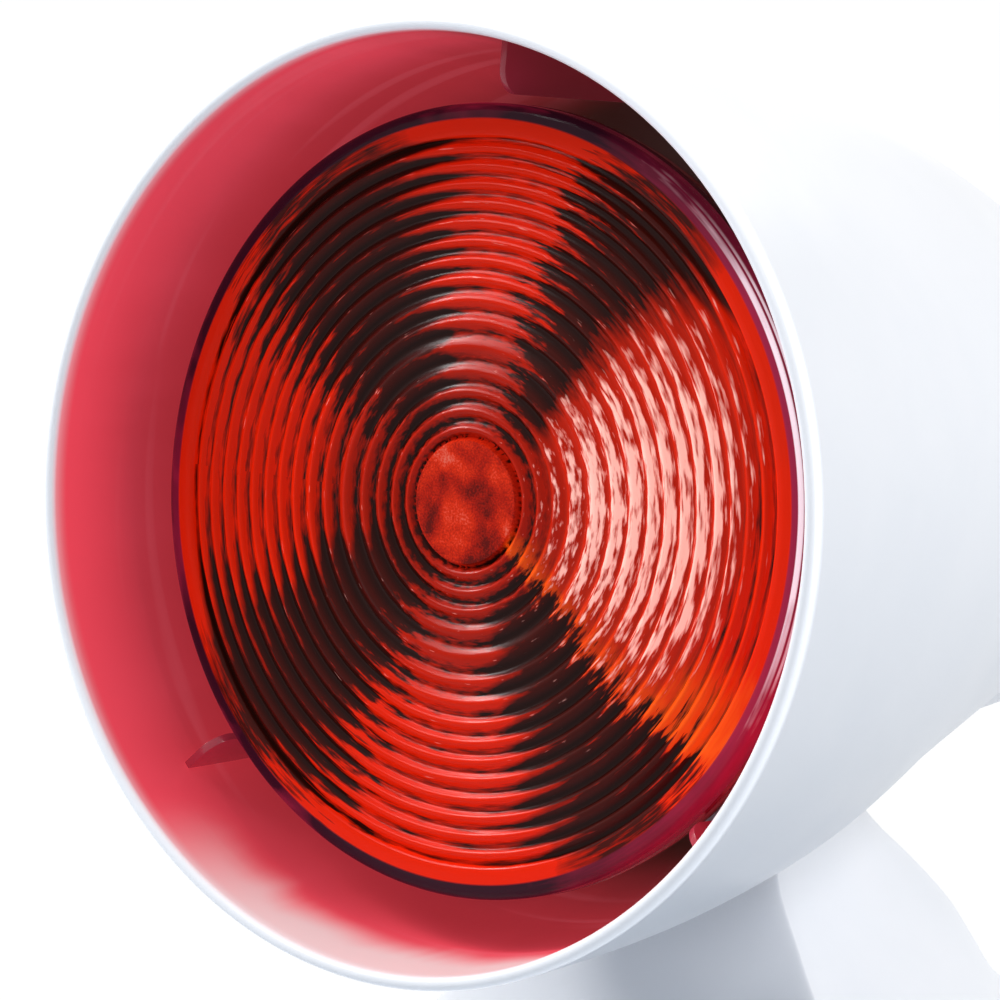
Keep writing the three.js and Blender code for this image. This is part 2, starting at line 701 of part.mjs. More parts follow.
function bulbLens() {
  const centre = LENS_CENTRE_RADIUS - LENS_RING_PITCH / 2;
  const front = [point(0, lensSurface(0)), point(centre, lensSurface(centre))];
  for (let ring = 0; ring < LENS_RING_COUNT; ring += 1) {
    const groove = LENS_CENTRE_RADIUS + ring * LENS_RING_PITCH;
    const crest = groove + LENS_RING_PITCH / 2;
    front.push(point(groove, lensSurface(groove) + LENS_RING_DEPTH));
    front.push(point(crest, lensSurface(crest)));
  }
  const seam = SEAM_Y - SEAT_GAP;
  const profile = [
    ...front,
    point(LENS_EDGE, lensSurface(LENS_EDGE)),
    point(FLANGE_RADIUS - LENS_SHOULDER / 4, FLANGE_DEPTH + LENS_SHOULDER / 4),
    point(FLANGE_RADIUS, FLANGE_DEPTH + LENS_SHOULDER),
    point(FLANGE_RADIUS, seam),
    point(FLANGE_RADIUS - GLASS_WALL, seam),
    point(FLANGE_RADIUS - GLASS_WALL * 2, lensSurface(LENS_EDGE) + LENS_THICKNESS),
    point(0, lensSurface(0) + LENS_THICKNESS),
  ];
  return turned(profile, BULB_SIDES);
}

function reflectorRow([depth, radius]) {
  return vec(SEAM_Y + depth * REFLECTOR_LENGTH, radius * FLANGE_RADIUS, 0);
}

const reflectorLine = sampled(REFLECTOR_SHARES.map(reflectorRow), REFLECTOR_STEPS);

function bulbReflector() {
  const outer = reflectorLine.map((row) => point(row.y, row.x));
  const floor = NECK_END_Y - GLASS_WALL * 2;
  const inner = inwards(reflectorLine, GLASS_WALL).filter((p) => p.y < floor - GLASS_WALL);
  inner[0].y = SEAM_Y;
  const profile = [
    point(0, floor),
    point(inner[inner.length - 1].x - GLASS_WALL, floor),
    ...inner.reverse(),
    ...outer,
    point(0, NECK_END_Y),
  ];
  return turned(profile, BULB_SIDES);
}

function bulbCap() {
  const profile = [
    point(CAP_SKIRT_RADIUS, CAP_FRONT_Y),
    point(CAP_SKIRT_RADIUS, CAP_FRONT_Y + CAP_SKIRT_LENGTH),
    point(CAP_THREAD_RADIUS - CAP_THREAD_DEPTH, CAP_THREAD_Y),
  ];
  for (let turn = 0; turn < CAP_THREAD_TURNS; turn += 1) {
    const start = CAP_THREAD_Y + turn * CAP_THREAD_PITCH;
    profile.push(point(CAP_THREAD_RADIUS, start + CAP_THREAD_PITCH / 2));
    profile.push(point(CAP_THREAD_RADIUS - CAP_THREAD_DEPTH, start + CAP_THREAD_PITCH));
  }
  profile.push(point(CAP_END_RADIUS, CAP_END_Y));
  return turnedOnAxis(profile, CAP_SIDES);
}

function bulbFilament(y) {
  const half = FILAMENT_SPAN / 2;
  const dip = FILAMENT_RADIUS * 4;
  const bend = half / 2;
  const points = [vec(-half, y, 0), vec(-bend, y - dip, 0), vec(bend, y - dip, 0), vec(half, y, 0)];
  return tube(points, FILAMENT_RADIUS, CABLE_STEPS / 2);
}

function buildBulb(axis) {
  addPiece(axis, "bulb_lens", bulbLens(), RUBY_GLASS);
  addPiece(axis, "bulb_reflector", bulbReflector(), DARK_GLASS);
  const filamentY = SEAM_Y + REFLECTOR_LENGTH * FILAMENT_DEPTH_SHARE;
  addPiece(axis, "bulb_filament", bulbFilament(filamentY), TUNGSTEN);
  const postFront = filamentY + FILAMENT_RADIUS + SEAT_GAP;
  const postBack = NECK_END_Y - GLASS_WALL * 2 - SEAT_GAP;
  const postX = FILAMENT_SPAN / 2 - POST_RADIUS;
  const post = () => rodY(POST_RADIUS, postFront, postBack, SCREW_SIDES / 2);
  addPiece(axis, "filament_post_left", post().translate(-postX, 0, 0), TUNGSTEN);
  addPiece(axis, "filament_post_right", post().translate(postX, 0, 0), TUNGSTEN);
  addPiece(axis, "bulb_cap", bulbCap(), BRASS);
  const insulatorFront = CAP_END_Y + SEAT_GAP;
  const tipFront = TIP_END_Y - TIP_LENGTH;
  const insulator = turnedOnAxis(
    [point(CAP_END_RADIUS, insulatorFront), point(INSULATOR_END_RADIUS, tipFront - SEAT_GAP)],
    SMALL_SIDES,
  );
  addPiece(axis, "bulb_insulator", insulator, BLACK_PLASTIC);
  const tip = turnedOnAxis(
    [
      point(TIP_RADIUS, tipFront),
      point(TIP_RADIUS, TIP_END_Y - TIP_LENGTH / 2),
      point(TIP_RADIUS / 2, TIP_END_Y),
    ],
    SMALL_SIDES,
  );
  addPiece(axis, "bulb_tip", tip, BRASS);
}

// Lampholder
const SLEEVE_INNER = CAP_THREAD_RADIUS + RUN_GAP;
const SLEEVE_OUTER = SLEEVE_INNER + HOLDER_SLEEVE_WALL;
const HOLDER_BORE = SLEEVE_OUTER + SEAT_GAP;
const HOLDER_RADIUS = HOLDER_BORE + HOLDER_WALL;
const HOLDER_FRONT_Y = CAP_THREAD_Y - CAP_CONE_LENGTH / 4;
const HOLDER_FLOOR_Y = HOLDER_BACK_Y - HOLDER_FLOOR;

function holderScrewPlaces() {
  return [-1, 1].map((side) => side * HOLDER_SCREW_OFFSET);
}

function holderBody() {
  const profile = [
    point(HOLDER_BORE, HOLDER_FLOOR_Y),
    point(HOLDER_BORE, HOLDER_FRONT_Y),
    point(HOLDER_RADIUS - HOLDER_CHAMFER, HOLDER_FRONT_Y),
    point(HOLDER_RADIUS, HOLDER_FRONT_Y + HOLDER_CHAMFER),
    point(HOLDER_RADIUS, HOLDER_BACK_Y - HOLDER_CHAMFER),
    point(HOLDER_RADIUS - HOLDER_CHAMFER, HOLDER_BACK_Y),
  ];
  const body = turnedOnAxis(profile, CAP_SIDES);
  const radius = HOLDER_SCREW_RADIUS + SEAT_GAP;
  const from = HOLDER_BACK_Y - HOLDER_SCREW_HOLD - SEAT_GAP;
  const holes = holderScrewPlaces().map((x) =>
    rodY(radius, from, HOLDER_BACK_Y + CUT_OVERRUN, SCREW_SIDES).translate(x, 0, 0),
  );
  return carve(body, [], holes);
}

function holderContact() {
  const floor = HOLDER_FLOOR_Y - SEAT_GAP;
  const front = TIP_END_Y + SEAT_GAP;
  const shape = new THREE.Shape();
  shape.moveTo(floor, -CONTACT_REACH);
  shape.lineTo(floor, 0);
  shape.lineTo(front + CONTACT_THICKNESS, CONTACT_THICKNESS * 2);
  shape.lineTo(front, CONTACT_THICKNESS);
  shape.lineTo(front, 0);
  shape.lineTo(floor - CONTACT_THICKNESS, -CONTACT_THICKNESS * 2);
  shape.lineTo(floor - CONTACT_THICKNESS, -CONTACT_REACH);
  return extrudedAlongX(shape, -CONTACT_WIDTH / 2, CONTACT_WIDTH / 2, 1);
}

function buildHolder(axis) {
  addPiece(axis, "holder_body", holderBody(), CERAMIC);
  const sleeveFront = HOLDER_FRONT_Y + HOLDER_CHAMFER;
  const sleeve = turned(
    [
      point(SLEEVE_INNER, sleeveFront),
      point(SLEEVE_OUTER, sleeveFront),
      point(SLEEVE_OUTER, TIP_END_Y),
      point(SLEEVE_INNER, TIP_END_Y),
    ],
    CAP_SIDES,
  );
  addPiece(axis, "holder_sleeve", sleeve, BRASS);
  addPiece(axis, "holder_contact", holderContact(), BRASS);
  const seat = YOKE_BACK_Y + SEAT_GAP;
  const tip = HOLDER_BACK_Y - HOLDER_SCREW_HOLD;
  const head = SMALL_SCREW_HEAD_RADIUS;
  holderScrewPlaces().forEach((x, i) => {
    const geometry = screwY(x, 0, seat, tip, HOLDER_SCREW_RADIUS, head, SMALL_SCREW_HEAD);
    addPiece(axis, ["holder_screw_left", "holder_screw_right"][i], geometry, STEEL);
  });
}

// Yoke: one folded steel sheet with the hinge's arms, the holder's plate and two tabs
const CHEEK_OUTER = CHEEK_INNER + CHEEK_THICKNESS;
const ARM_INNER = CHEEK_OUTER + WASHER_THICKNESS + SEAT_GAP * 2;
const ARM_OUTER = ARM_INNER + YOKE_SHEET;

// The arms fill a share of the room between the lampholder and the cover's underside.
function armRoom() {
  const radius = headRadiusAt(YOKE_PLATE_Y) - COVER_WALL;
  const underside = Math.sqrt(radius * radius - ARM_OUTER * ARM_OUTER) - riseAt(YOKE_PLATE_Y);
  return underside - HOLDER_RADIUS;
}

const YOKE_ARM_TOP = HOLDER_RADIUS + armRoom() * YOKE_ARM_TOP_SHARE;
const YOKE_ARM_HEIGHT = armRoom() * YOKE_ARM_HEIGHT_SHARE;

function yokeArm(side) {
  const y = PIVOT_BEHIND_RIM;
  const z = -PIVOT_BELOW_AXIS;
  const shape = new THREE.Shape();
  const top = -YOKE_ARM_TOP;
  const front = y - YOKE_END_RADIUS;
  shape.absarc(y, z, YOKE_END_RADIUS, Math.PI, Math.PI * 1.75, false);
  shape.lineTo(SHADE_LENGTH, top - YOKE_ARM_HEIGHT);
  shape.lineTo(YOKE_PLATE_Y, top - YOKE_ARM_HEIGHT);
  shape.lineTo(YOKE_PLATE_Y, top);
  shape.lineTo(y + YOKE_END_RADIUS, top);
  shape.lineTo(front, z + YOKE_END_RADIUS / 2);
  const near = side > 0 ? ARM_INNER : -ARM_OUTER;
  return extrudedAlongX(shape, near, near + YOKE_SHEET, ROUND_STEPS);
}

function yokeTab(side) {
  const reach = side * (FRAME_BOSS_X + YOKE_TAB_MARGIN);
  const root = side * (ARM_INNER + YOKE_SHEET / 2);
  const low = -FRAME_BOSS_BELOW - YOKE_TAB_HEIGHT / 2;
  const from = SHADE_LENGTH - YOKE_SHEET;
  const a = vec(Math.min(root, reach), from, low);
  return block(a, vec(Math.max(root, reach), SHADE_LENGTH, low + YOKE_TAB_HEIGHT));
}

// The plate narrows below the lampholder, where it folds into the two arms.
function yokePlate() {
  const width = YOKE_PLATE_HALF_WIDTH;
  const low = -YOKE_ARM_TOP - YOKE_ARM_HEIGHT;
  const shape = new THREE.Shape();
  shape.moveTo(-ARM_OUTER, low);
  shape.lineTo(ARM_OUTER, low);
  shape.lineTo(width, -YOKE_ARM_HEIGHT);
  shape.lineTo(width, YOKE_PLATE_ABOVE);
  shape.lineTo(-width, YOKE_PLATE_ABOVE);
  shape.lineTo(-width, -YOKE_ARM_HEIGHT);
  return extrudedBack(shape, YOKE_PLATE_Y, YOKE_BACK_Y, 1);
}

function yokeBracket() {
  const plate = yokePlate();
  const pivotHole = rodX(
    PIVOT_SCREW_RADIUS + SEAT_GAP,
    -ARM_OUTER - CUT_OVERRUN,
    ARM_OUTER + CUT_OVERRUN,
    SMALL_SIDES,
  ).translate(0, PIVOT_BEHIND_RIM, -PIVOT_BELOW_AXIS);
  const radius = SMALL_SCREW_RADIUS + SEAT_GAP;
  const hole = (x, z, y) =>
    rodY(radius, y - YOKE_SHEET - CUT_OVERRUN, y + CUT_OVERRUN, SCREW_SIDES).translate(x, 0, z);
  const holes = [
    ...holderScrewPlaces().map((x) => hole(x, 0, YOKE_BACK_Y)),
    ...coverScrewPlaces().map(({ x, z }) => hole(x, z, YOKE_BACK_Y)),
    ...[-1, 1].map((side) => hole(side * FRAME_BOSS_X, -FRAME_BOSS_BELOW, SHADE_LENGTH)),
  ];
  return carve(plate, [yokeArm(-1), yokeArm(1), yokeTab(-1), yokeTab(1)], [pivotHole, ...holes]);
}

function buildYoke(axis) {
  addPiece(axis, "yoke_bracket", yokeBracket(), STEEL);
  [-1, 1].forEach((side, i) => {
    const seat = SHADE_LENGTH + SEAT_GAP;
    const tip = SHADE_LENGTH - SCREW_HOLD;
    const x = side * FRAME_BOSS_X;
    const radius = SMALL_SCREW_RADIUS;
    const head = SMALL_SCREW_HEAD_RADIUS;
    const geometry = screwY(x, -FRAME_BOSS_BELOW, seat, tip, radius, head, SMALL_SCREW_HEAD);
    addPiece(axis, ["frame_screw_left", "frame_screw_right"][i], geometry, STEEL);
  });
}

// The head's cable starts as a ball on the hinge axis, so it clears the stand's cable at any tilt.
function headCable() {
  const y = PIVOT_BEHIND_RIM;
  const z = -PIVOT_BELOW_AXIS;
  const drop = -HOLDER_RADIUS - SEAT_GAP;
  const low = drop - CABLE_RADIUS * 3;
  const end = HOLDER_FLOOR_Y - CABLE_RADIUS;
  const points = [
    vec(0, y, z),
    vec(0, y + CABLE_RADIUS * 2, z + CABLE_RADIUS * 2),
    vec(0, HOLDER_FRONT_Y, low),
    vec(0, end - CABLE_RADIUS * 3, low),
    vec(0, end, drop - CABLE_RADIUS),
    vec(0, end, drop),
  ];
  const ball = new THREE.SphereGeometry(CABLE_RADIUS, CABLE_SIDES, ROUND_STEPS).translate(0, y, z);
  return carve(tube(points, CABLE_RADIUS, CABLE_STEPS), [ball], []);
}

// Stand shell
const STAND_TOP = PIVOT_HEIGHT - NECK_DROP;

function standRow(share) {
  const [height, width, crease, bulge, rear] = share;
  return {
    height: height * STAND_TOP,
    width: width * FOOT_HALF_WIDTH,
    crease: crease * FOOT_CREASE,
    bulge: bulge * (FOOT_FRONT - FOOT_CREASE),
    rear: rear * FOOT_REAR,
  };
}

function smooth(rows) {
  return new THREE.CatmullRomCurve3(rows, false, "centripetal");
}

// Smooths the table into evenly stepped rings.
function standRings() {
  const rows = STAND_SHARES.map(standRow);
  const plan = smooth(rows.map((r) => vec(r.height, r.width, r.crease)));
  const reach = smooth(rows.map((r) => vec(r.height, r.bulge, r.rear)));
  return Array.from({ length: STAND_STEPS + 1 }, (_, i) => {
    const t = i / STAND_STEPS;
    const a = plan.getPoint(t);
    const b = reach.getPoint(t);
    return { height: a.x, width: a.y, crease: a.z, bulge: b.y, rear: b.z };
  });
}

// The rear of a ring goes from an ellipse at the foot to a squarer round at the neck.
function ringPoints(ring, inset, height) {
  const width = ring.width - inset;
  const crease = -ring.crease + inset;
  const bulge = Math.max(ring.bulge, 0);
  const rearDepth = ring.rear - inset - crease;
  const power = 1 - (STAND_TOP_SQUARE_SHARE * ring.height) / STAND_TOP;
  const points = [];
  for (let i = 0; i < STAND_REAR_SIDES; i += 1) {
    const turn = (i / STAND_REAR_SIDES) * Math.PI;
    const across = Math.sign(Math.cos(turn)) * Math.abs(Math.cos(turn)) ** power;
    const back = Math.abs(Math.sin(turn)) ** power;
    points.push(vec(width * across, crease + rearDepth * back, height));
  }
  for (let i = 0; i < STAND_FRONT_SIDES; i += 1) {
    const turn = (i / STAND_FRONT_SIDES) * Math.PI;
    points.push(vec(-width * Math.cos(turn), crease - bulge * Math.sin(turn), height));
  }
  return points;
}

// Skins a stack of rings, with a fan on the first and the last.
function skinned(rings) {
  const count = rings[0].length;
  const positions = [];
  const triangle = (a, b, c) => positions.push(...a.toArray(), ...b.toArray(), ...c.toArray());
  const middle = (ring) => ring.reduce((sum, p) => sum.add(p), vec(0, 0, 0)).divideScalar(count);
  const floor = middle(rings[0]);
  const roof = middle(rings[rings.length - 1]);
  for (let i = 0; i < count; i += 1) {
    const j = (i + 1) % count;
    for (let k = 0; k + 1 < rings.length; k += 1) {
      triangle(rings[k][i], rings[k][j], rings[k + 1][j]);
      triangle(rings[k][i], rings[k + 1][j], rings[k + 1][i]);
    }
    triangle(floor, rings[0][j], rings[0][i]);
    triangle(roof, rings[rings.length - 1][i], rings[rings.length - 1][j]);
  }
  const geometry = new THREE.BufferGeometry();
  geometry.setAttribute("position", new THREE.BufferAttribute(new Float32Array(positions), 3));
  return geometry;
}

const rings = standRings();

function standSolid() {
  return skinned(rings.map((ring) => ringPoints(ring, 0, ring.height)));
}

// The stand's shape to the middle of its wall, which what stands inside is cut to.
function standCore() {
  const half = STAND_WALL / 2;
  return skinned(rings.map((ring) => ringPoints(ring, half, ring.height - half)));
}

// How far the back of the stand reaches at a height.
function rearAt(height) {
  const i = Math.max(1, rings.findIndex((ring) => ring.height > height));
  const below = rings[i - 1];
  const above = rings[i];
  const part = (height - below.height) / (above.height - below.height);
  return below.rear + part * (above.rear - below.rear);
}

function standHollow() {
  const top = STAND_TOP - STAND_WALL;
  const kept = rings.filter((ring) => ring.height < top);
  const inside = kept.map((ring) => ringPoints(ring, STAND_WALL, ring.height));
  const below = ringPoints(rings[1], STAND_WALL, -CUT_OVERRUN);
  const edge = ringPoints(rings[1], STAND_WALL, rings[1].height);
  const roof = ringPoints(rings[rings.length - 1], STAND_WALL, top);
  const upper = inside.filter((ring) => ring[0].z > rings[1].height + STAND_WALL / 2);
  const shifted = upper.map((ring) => ring.map((p) => vec(p.x, p.y, p.z - STAND_WALL / 2)));
  return skinned([below, edge, ...shifted, roof]);
}

function cheek(side) {
  const shape = new THREE.Shape();
  shape.absarc(0, PIVOT_HEIGHT, CHEEK_RADIUS, 0, Math.PI, false);
  shape.lineTo(-CHEEK_RADIUS, STAND_TOP - STAND_WALL);
  shape.lineTo(CHEEK_RADIUS, STAND_TOP - STAND_WALL);
  const near = side > 0 ? CHEEK_INNER : -CHEEK_OUTER;
  return extrudedAlongX(shape, near, near + CHEEK_THICKNESS, ROUND_STEPS);
}

// Four places on the foot, at a share of its width and set in from its front and rear.
function cornerPlaces(sideShare, frontInset, rearInset) {
  const reach = FOOT_HALF_WIDTH * sideShare;
  const depths = [frontInset - FOOT_FRONT, FOOT_REAR - rearInset];
  return depths.flatMap((y) => [-reach, reach].map((x) => ({ x, y })));
}

function basePostPlaces() {
  return cornerPlaces(BASE_POST_SIDE_SHARE, BASE_POST_FRONT_INSET, BASE_POST_REAR_INSET);
}

const PLATE_TOP = PAD_PROUD + PLATE_THICKNESS;
const GLAND_FACE = FOOT_REAR - GLAND_SUNK;
const GLAND_HEIGHT = PLATE_TOP + GLAND_ABOVE_PLATE + GLAND_NECK_RADIUS;
const SWITCH_HEIGHT = STAND_TOP * SWITCH_HEIGHT_SHARE;

// The switch lies square to the slope of the stand's back.
const SWITCH_REACH = SWITCH_FRAME_LENGTH / 2;
const switchFall = rearAt(SWITCH_HEIGHT - SWITCH_REACH) - rearAt(SWITCH_HEIGHT + SWITCH_REACH);
const switchLean = Math.atan2(switchFall, SWITCH_REACH * 2);

function switchPoint(depth) {
  const reach = depth + SWITCH_SUNK;
  const back = rearAt(SWITCH_HEIGHT) - reach * Math.cos(switchLean);
  return vec(0, back, SWITCH_HEIGHT - reach * Math.sin(switchLean));
}

function switchFrame(geometry) {
  const place = switchPoint(0);
  return geometry.rotateX(switchLean - Math.PI / 2).translate(place.x, place.y, place.z);
}

function switchPad() {
  const halfWidth = SWITCH_FRAME_WIDTH / 2 + SWITCH_PAD_MARGIN;
  const halfLength = SWITCH_FRAME_LENGTH / 2 + SWITCH_PAD_MARGIN;
  const low = vec(-halfWidth, -halfLength, -SWITCH_PAD_DEPTH);
  return switchFrame(block(low, vec(halfWidth, halfLength, SWITCH_FRAME_THICKNESS)));
}

function switchCut() {
  const halfWidth = SWITCH_FRAME_WIDTH / 2 + SEAT_GAP;
  const halfLength = SWITCH_FRAME_LENGTH / 2 + SEAT_GAP;
  const recessTop = vec(halfWidth, halfLength, SWITCH_PAD_DEPTH * 2);
  const recess = block(vec(-halfWidth, -halfLength, 0), recessTop);
  const bodyWidth = SWITCH_BODY_WIDTH / 2 + SEAT_GAP;
  const bodyLength = SWITCH_BODY_LENGTH / 2 + SEAT_GAP;
  const low = vec(-bodyWidth, -bodyLength, -SWITCH_PAD_DEPTH - CUT_OVERRUN);
  const body = block(low, vec(bodyWidth, bodyLength, CUT_OVERRUN));
  return [switchFrame(recess), switchFrame(body)];
}

function standShell() {
  const outer = standSolid();
  const core = standCore();
  const posts = basePostPlaces().map(({ x, y }) => {
    const post = rodZ(BASE_POST_RADIUS, PLATE_TOP + SEAT_GAP, STAND_TOP, SMALL_SIDES);
    return keptInside(post.translate(x, y, 0), core);
  });
  const pad = keptInside(switchPad(), core);
  const pilotRadius = SMALL_SCREW_RADIUS + SEAT_GAP / 2;
  const pilotEnd = PLATE_TOP + SCREW_HOLD + SEAT_GAP;
  const pilots = basePostPlaces().map(({ x, y }) =>
    rodZ(pilotRadius, PLATE_TOP, pilotEnd, SCREW_SIDES).translate(x, y, 0),
  );
  const cableFrom = STAND_TOP - STAND_WALL * 2;
  const cableWay = rodZ(CABLE_RADIUS * 2, cableFrom, STAND_TOP + CUT_OVERRUN, SMALL_SIDES);
  const reach = CHEEK_OUTER + CUT_OVERRUN;
  const pivotHole = rodX(PIVOT_SCREW_RADIUS + SEAT_GAP, -reach, reach, SMALL_SIDES);
  pivotHole.translate(0, 0, PIVOT_HEIGHT);
  const hollow = solidOf(outer).subtract(solidOf(standHollow()));
  return carve(
    geometryOf(hollow),
    [cheek(-1), cheek(1), ...posts, glandBoss(), pad],
    [cableWay, pivotHole, glandHole(), ...pilots, ...switchCut()],
  );
}

// The boss stops above the base plate.
function glandBoss() {
  const front = GLAND_FACE - GLAND_NECK_LENGTH + GLAND_FLANGE_LENGTH;
  const boss = rodY(GLAND_BOSS_RADIUS, front, GLAND_FACE, SMALL_SIDES).translate(0, 0, GLAND_HEIGHT);
  const low = vec(-GLAND_BOSS_RADIUS, front - CUT_OVERRUN, 0);
  const high = vec(GLAND_BOSS_RADIUS, GLAND_FACE + CUT_OVERRUN, PLATE_TOP + SEAT_GAP);
  return carve(boss, [], [block(low, high)]);
}

function glandHole() {
  const front = GLAND_FACE - GLAND_NECK_LENGTH - CUT_OVERRUN;
  const hole = rodY(GLAND_NECK_RADIUS + SEAT_GAP, front, GLAND_FACE + CUT_OVERRUN, SMALL_SIDES);
  const seatRadius = GLAND_FLANGE_RADIUS + SEAT_GAP;
  const seat = rodY(seatRadius, GLAND_FACE, FOOT_REAR + CUT_OVERRUN, SMALL_SIDES);
  return carve(hole, [seat], []).translate(0, 0, GLAND_HEIGHT);
}

function outlineShape(inset) {
  const points = ringPoints(rings[1], STAND_WALL + inset, 0);
  return new THREE.Shape(points.map((p) => new THREE.Vector2(p.x, p.y)));
}

function padPlaces() {
  return cornerPlaces(PAD_SIDE_SHARE, PAD_FRONT_INSET, PAD_REAR_INSET);
}

function basePlate() {
  const plate = extrudedUp(outlineShape(PLATE_GAP), PAD_PROUD, PLATE_TOP, 1);
  const wellTop = PAD_PROUD + PAD_SUNK + SEAT_GAP;
  const wells = padPlaces().map(({ x, y }) =>
    rodZ(PAD_RADIUS + SEAT_GAP, 0, wellTop, SMALL_SIDES).translate(x, y, 0),
  );
  const places = basePostPlaces();
  const sunkRadius = SMALL_SCREW_HEAD_RADIUS + SEAT_GAP;
  const sunk = places.map(({ x, y }) =>
    rodZ(sunkRadius, 0, PAD_PROUD + SMALL_SCREW_HEAD, SCREW_SIDES).translate(x, y, 0),
  );
  const holes = places.map(({ x, y }) =>
    rodZ(SMALL_SCREW_RADIUS + SEAT_GAP, 0, PLATE_TOP + CUT_OVERRUN, SCREW_SIDES).translate(x, y, 0),
  );
  return carve(plate, [], [...wells, ...sunk, ...holes]);
}

function buildBase(stand) {
  addPiece(stand, "base_plate", basePlate(), GREY_PLASTIC);
  const names = ["front_left", "front_right", "rear_left", "rear_right"];
  padPlaces().forEach(({ x, y }, i) => {
    const pad = rodZ(PAD_RADIUS, 0, PAD_PROUD + PAD_SUNK, SMALL_SIDES).translate(x, y, 0);
    addPiece(stand, `foot_pad_${names[i]}`, pad, RUBBER);
  });
  basePostPlaces().forEach(({ x, y }, i) => {
    const seat = -PAD_PROUD - SMALL_SCREW_HEAD + SEAT_GAP;
    const tip = -PLATE_TOP - SCREW_HOLD;
    const head = SMALL_SCREW_HEAD - SEAT_GAP;
    const screw = screwY(0, 0, seat, tip, SMALL_SCREW_RADIUS, SMALL_SCREW_HEAD_RADIUS, head);
    addPiece(stand, `base_screw_${names[i]}`, screw.rotateX(-Math.PI / 2).translate(x, y, 0), STEEL);
  });
  const ballastBottom = PLATE_TOP + SEAT_GAP;
  const width = FOOT_HALF_WIDTH * BALLAST_SIDE_SHARE;
  const outline = roundedRectangle(width, BALLAST_DEPTH / 2, BALLAST_CORNER, -BALLAST_BACK);
  const ballast = extrudedUp(outline, ballastBottom, ballastBottom + BALLAST_HEIGHT, CORNER_STEPS);
  addPiece(stand, "ballast_weight", ballast, CAST_IRON);
}

// Wiring in the stand
const BALLAST_TOP = PLATE_TOP + SEAT_GAP + BALLAST_HEIGHT;
const TERMINAL_BOTTOM = BALLAST_TOP + SEAT_GAP;
const TERMINAL_TOP = TERMINAL_BOTTOM + TERMINAL_HEIGHT;

function terminalBlock() {
  const half = TERMINAL_DEPTH / 2;
  const low = vec(-TERMINAL_WIDTH / 2, TERMINAL_BACK - half, TERMINAL_BOTTOM);
  const body = block(low, vec(TERMINAL_WIDTH / 2, TERMINAL_BACK + half, TERMINAL_TOP));
  const floor = TERMINAL_TOP - TERMINAL_WELL_DEPTH;
  const wells = [-1, 1].map((side) => {
    const well = rodZ(TERMINAL_WELL_RADIUS, floor, TERMINAL_TOP + CUT_OVERRUN, SCREW_SIDES);
    return well.translate((side * TERMINAL_WIDTH) / 3, TERMINAL_BACK, 0);
  });
  return carve(body, [], wells);
}

function standCable() {
  const top = PIVOT_HEIGHT - CABLE_RADIUS - SEAT_GAP;
  const bottom = TERMINAL_TOP + SEAT_GAP;
  const points = [
    vec(0, 0, top),
    vec(0, 0, top - CABLE_RADIUS * 4),
    vec(0, TERMINAL_BACK, bottom + CABLE_RADIUS * 5),
    vec(0, TERMINAL_BACK, bottom),
  ];
  return tube(points, CABLE_RADIUS, CABLE_STEPS);
}

function switchLead() {
  const exit = switchPoint(SWITCH_BODY_DEPTH + SEAT_GAP);
  const way = vec(0, -Math.cos(switchLean), -Math.sin(switchLean));
  const faceY = TERMINAL_BACK + TERMINAL_DEPTH / 2 + SEAT_GAP;
  const blockFace = vec(0, faceY, TERMINAL_BOTTOM + TERMINAL_HEIGHT / 2);
  const points = [
    exit,
    exit.clone().addScaledVector(way, LEAD_RADIUS),
    blockFace.clone().add(vec(0, LEAD_RADIUS * 3, 0)),
    blockFace,
  ];
  return tube(points, LEAD_RADIUS, CABLE_STEPS);
}

function buildWiring(stand) {
  addPiece(stand, "terminal_block", terminalBlock(), BLACK_PLASTIC);
  addPiece(stand, "stand_cable", standCable(), CABLE_GREY);
  addPiece(stand, "switch_lead", switchLead(), CABLE_GREY);
  const gland = turned(
    [
      point(GLAND_BORE, GLAND_FACE - GLAND_NECK_LENGTH),
      point(GLAND_NECK_RADIUS, GLAND_FACE - GLAND_NECK_LENGTH),
      point(GLAND_NECK_RADIUS, GLAND_FACE + SEAT_GAP),
      point(GLAND_FLANGE_RADIUS, GLAND_FACE + SEAT_GAP),
      point(GLAND_FLANGE_RADIUS, GLAND_FACE + GLAND_FLANGE_LENGTH / 2),
      point(GLAND_NECK_RADIUS, GLAND_FACE + GLAND_FLANGE_LENGTH),
      point(GLAND_BORE, GLAND_FACE + GLAND_FLANGE_LENGTH),
    ],
    SMALL_SIDES,
  );
  addPiece(stand, "cord_gland", gland.translate(0, 0, GLAND_HEIGHT), RUBBER);
}

// Switch, drawn flat with +Z out of the stand and then leaned on the pad
function switchHousing() {
  const frameLow = vec(-SWITCH_FRAME_WIDTH / 2, -SWITCH_FRAME_LENGTH / 2, SEAT_GAP);
  const frameTop = SWITCH_FRAME_THICKNESS + SEAT_GAP;
  const frame = block(frameLow, vec(SWITCH_FRAME_WIDTH / 2, SWITCH_FRAME_LENGTH / 2, frameTop));
  const bodyLow = vec(-SWITCH_BODY_WIDTH / 2, -SWITCH_BODY_LENGTH / 2, -SWITCH_BODY_DEPTH);
  const body = block(bodyLow, vec(SWITCH_BODY_WIDTH / 2, SWITCH_BODY_LENGTH / 2, SEAT_GAP * 2));
  const width = SWITCH_BODY_WIDTH / 2 - SWITCH_WALL;
  const length = SWITCH_BODY_LENGTH / 2 - SWITCH_WALL;
  const pocketLow = vec(-width, -length, frameTop - SWITCH_POCKET_DEPTH);
  const pocket = block(pocketLow, vec(width, length, frameTop + CUT_OVERRUN));
  const pinReach = width + ROCKER_PIN_LENGTH;
  const pinWay = rodX(ROCKER_PIN_RADIUS + SEAT_GAP, -pinReach, pinReach, SCREW_SIDES);
  return carve(frame, [body], [pocket, pinWay]);
}

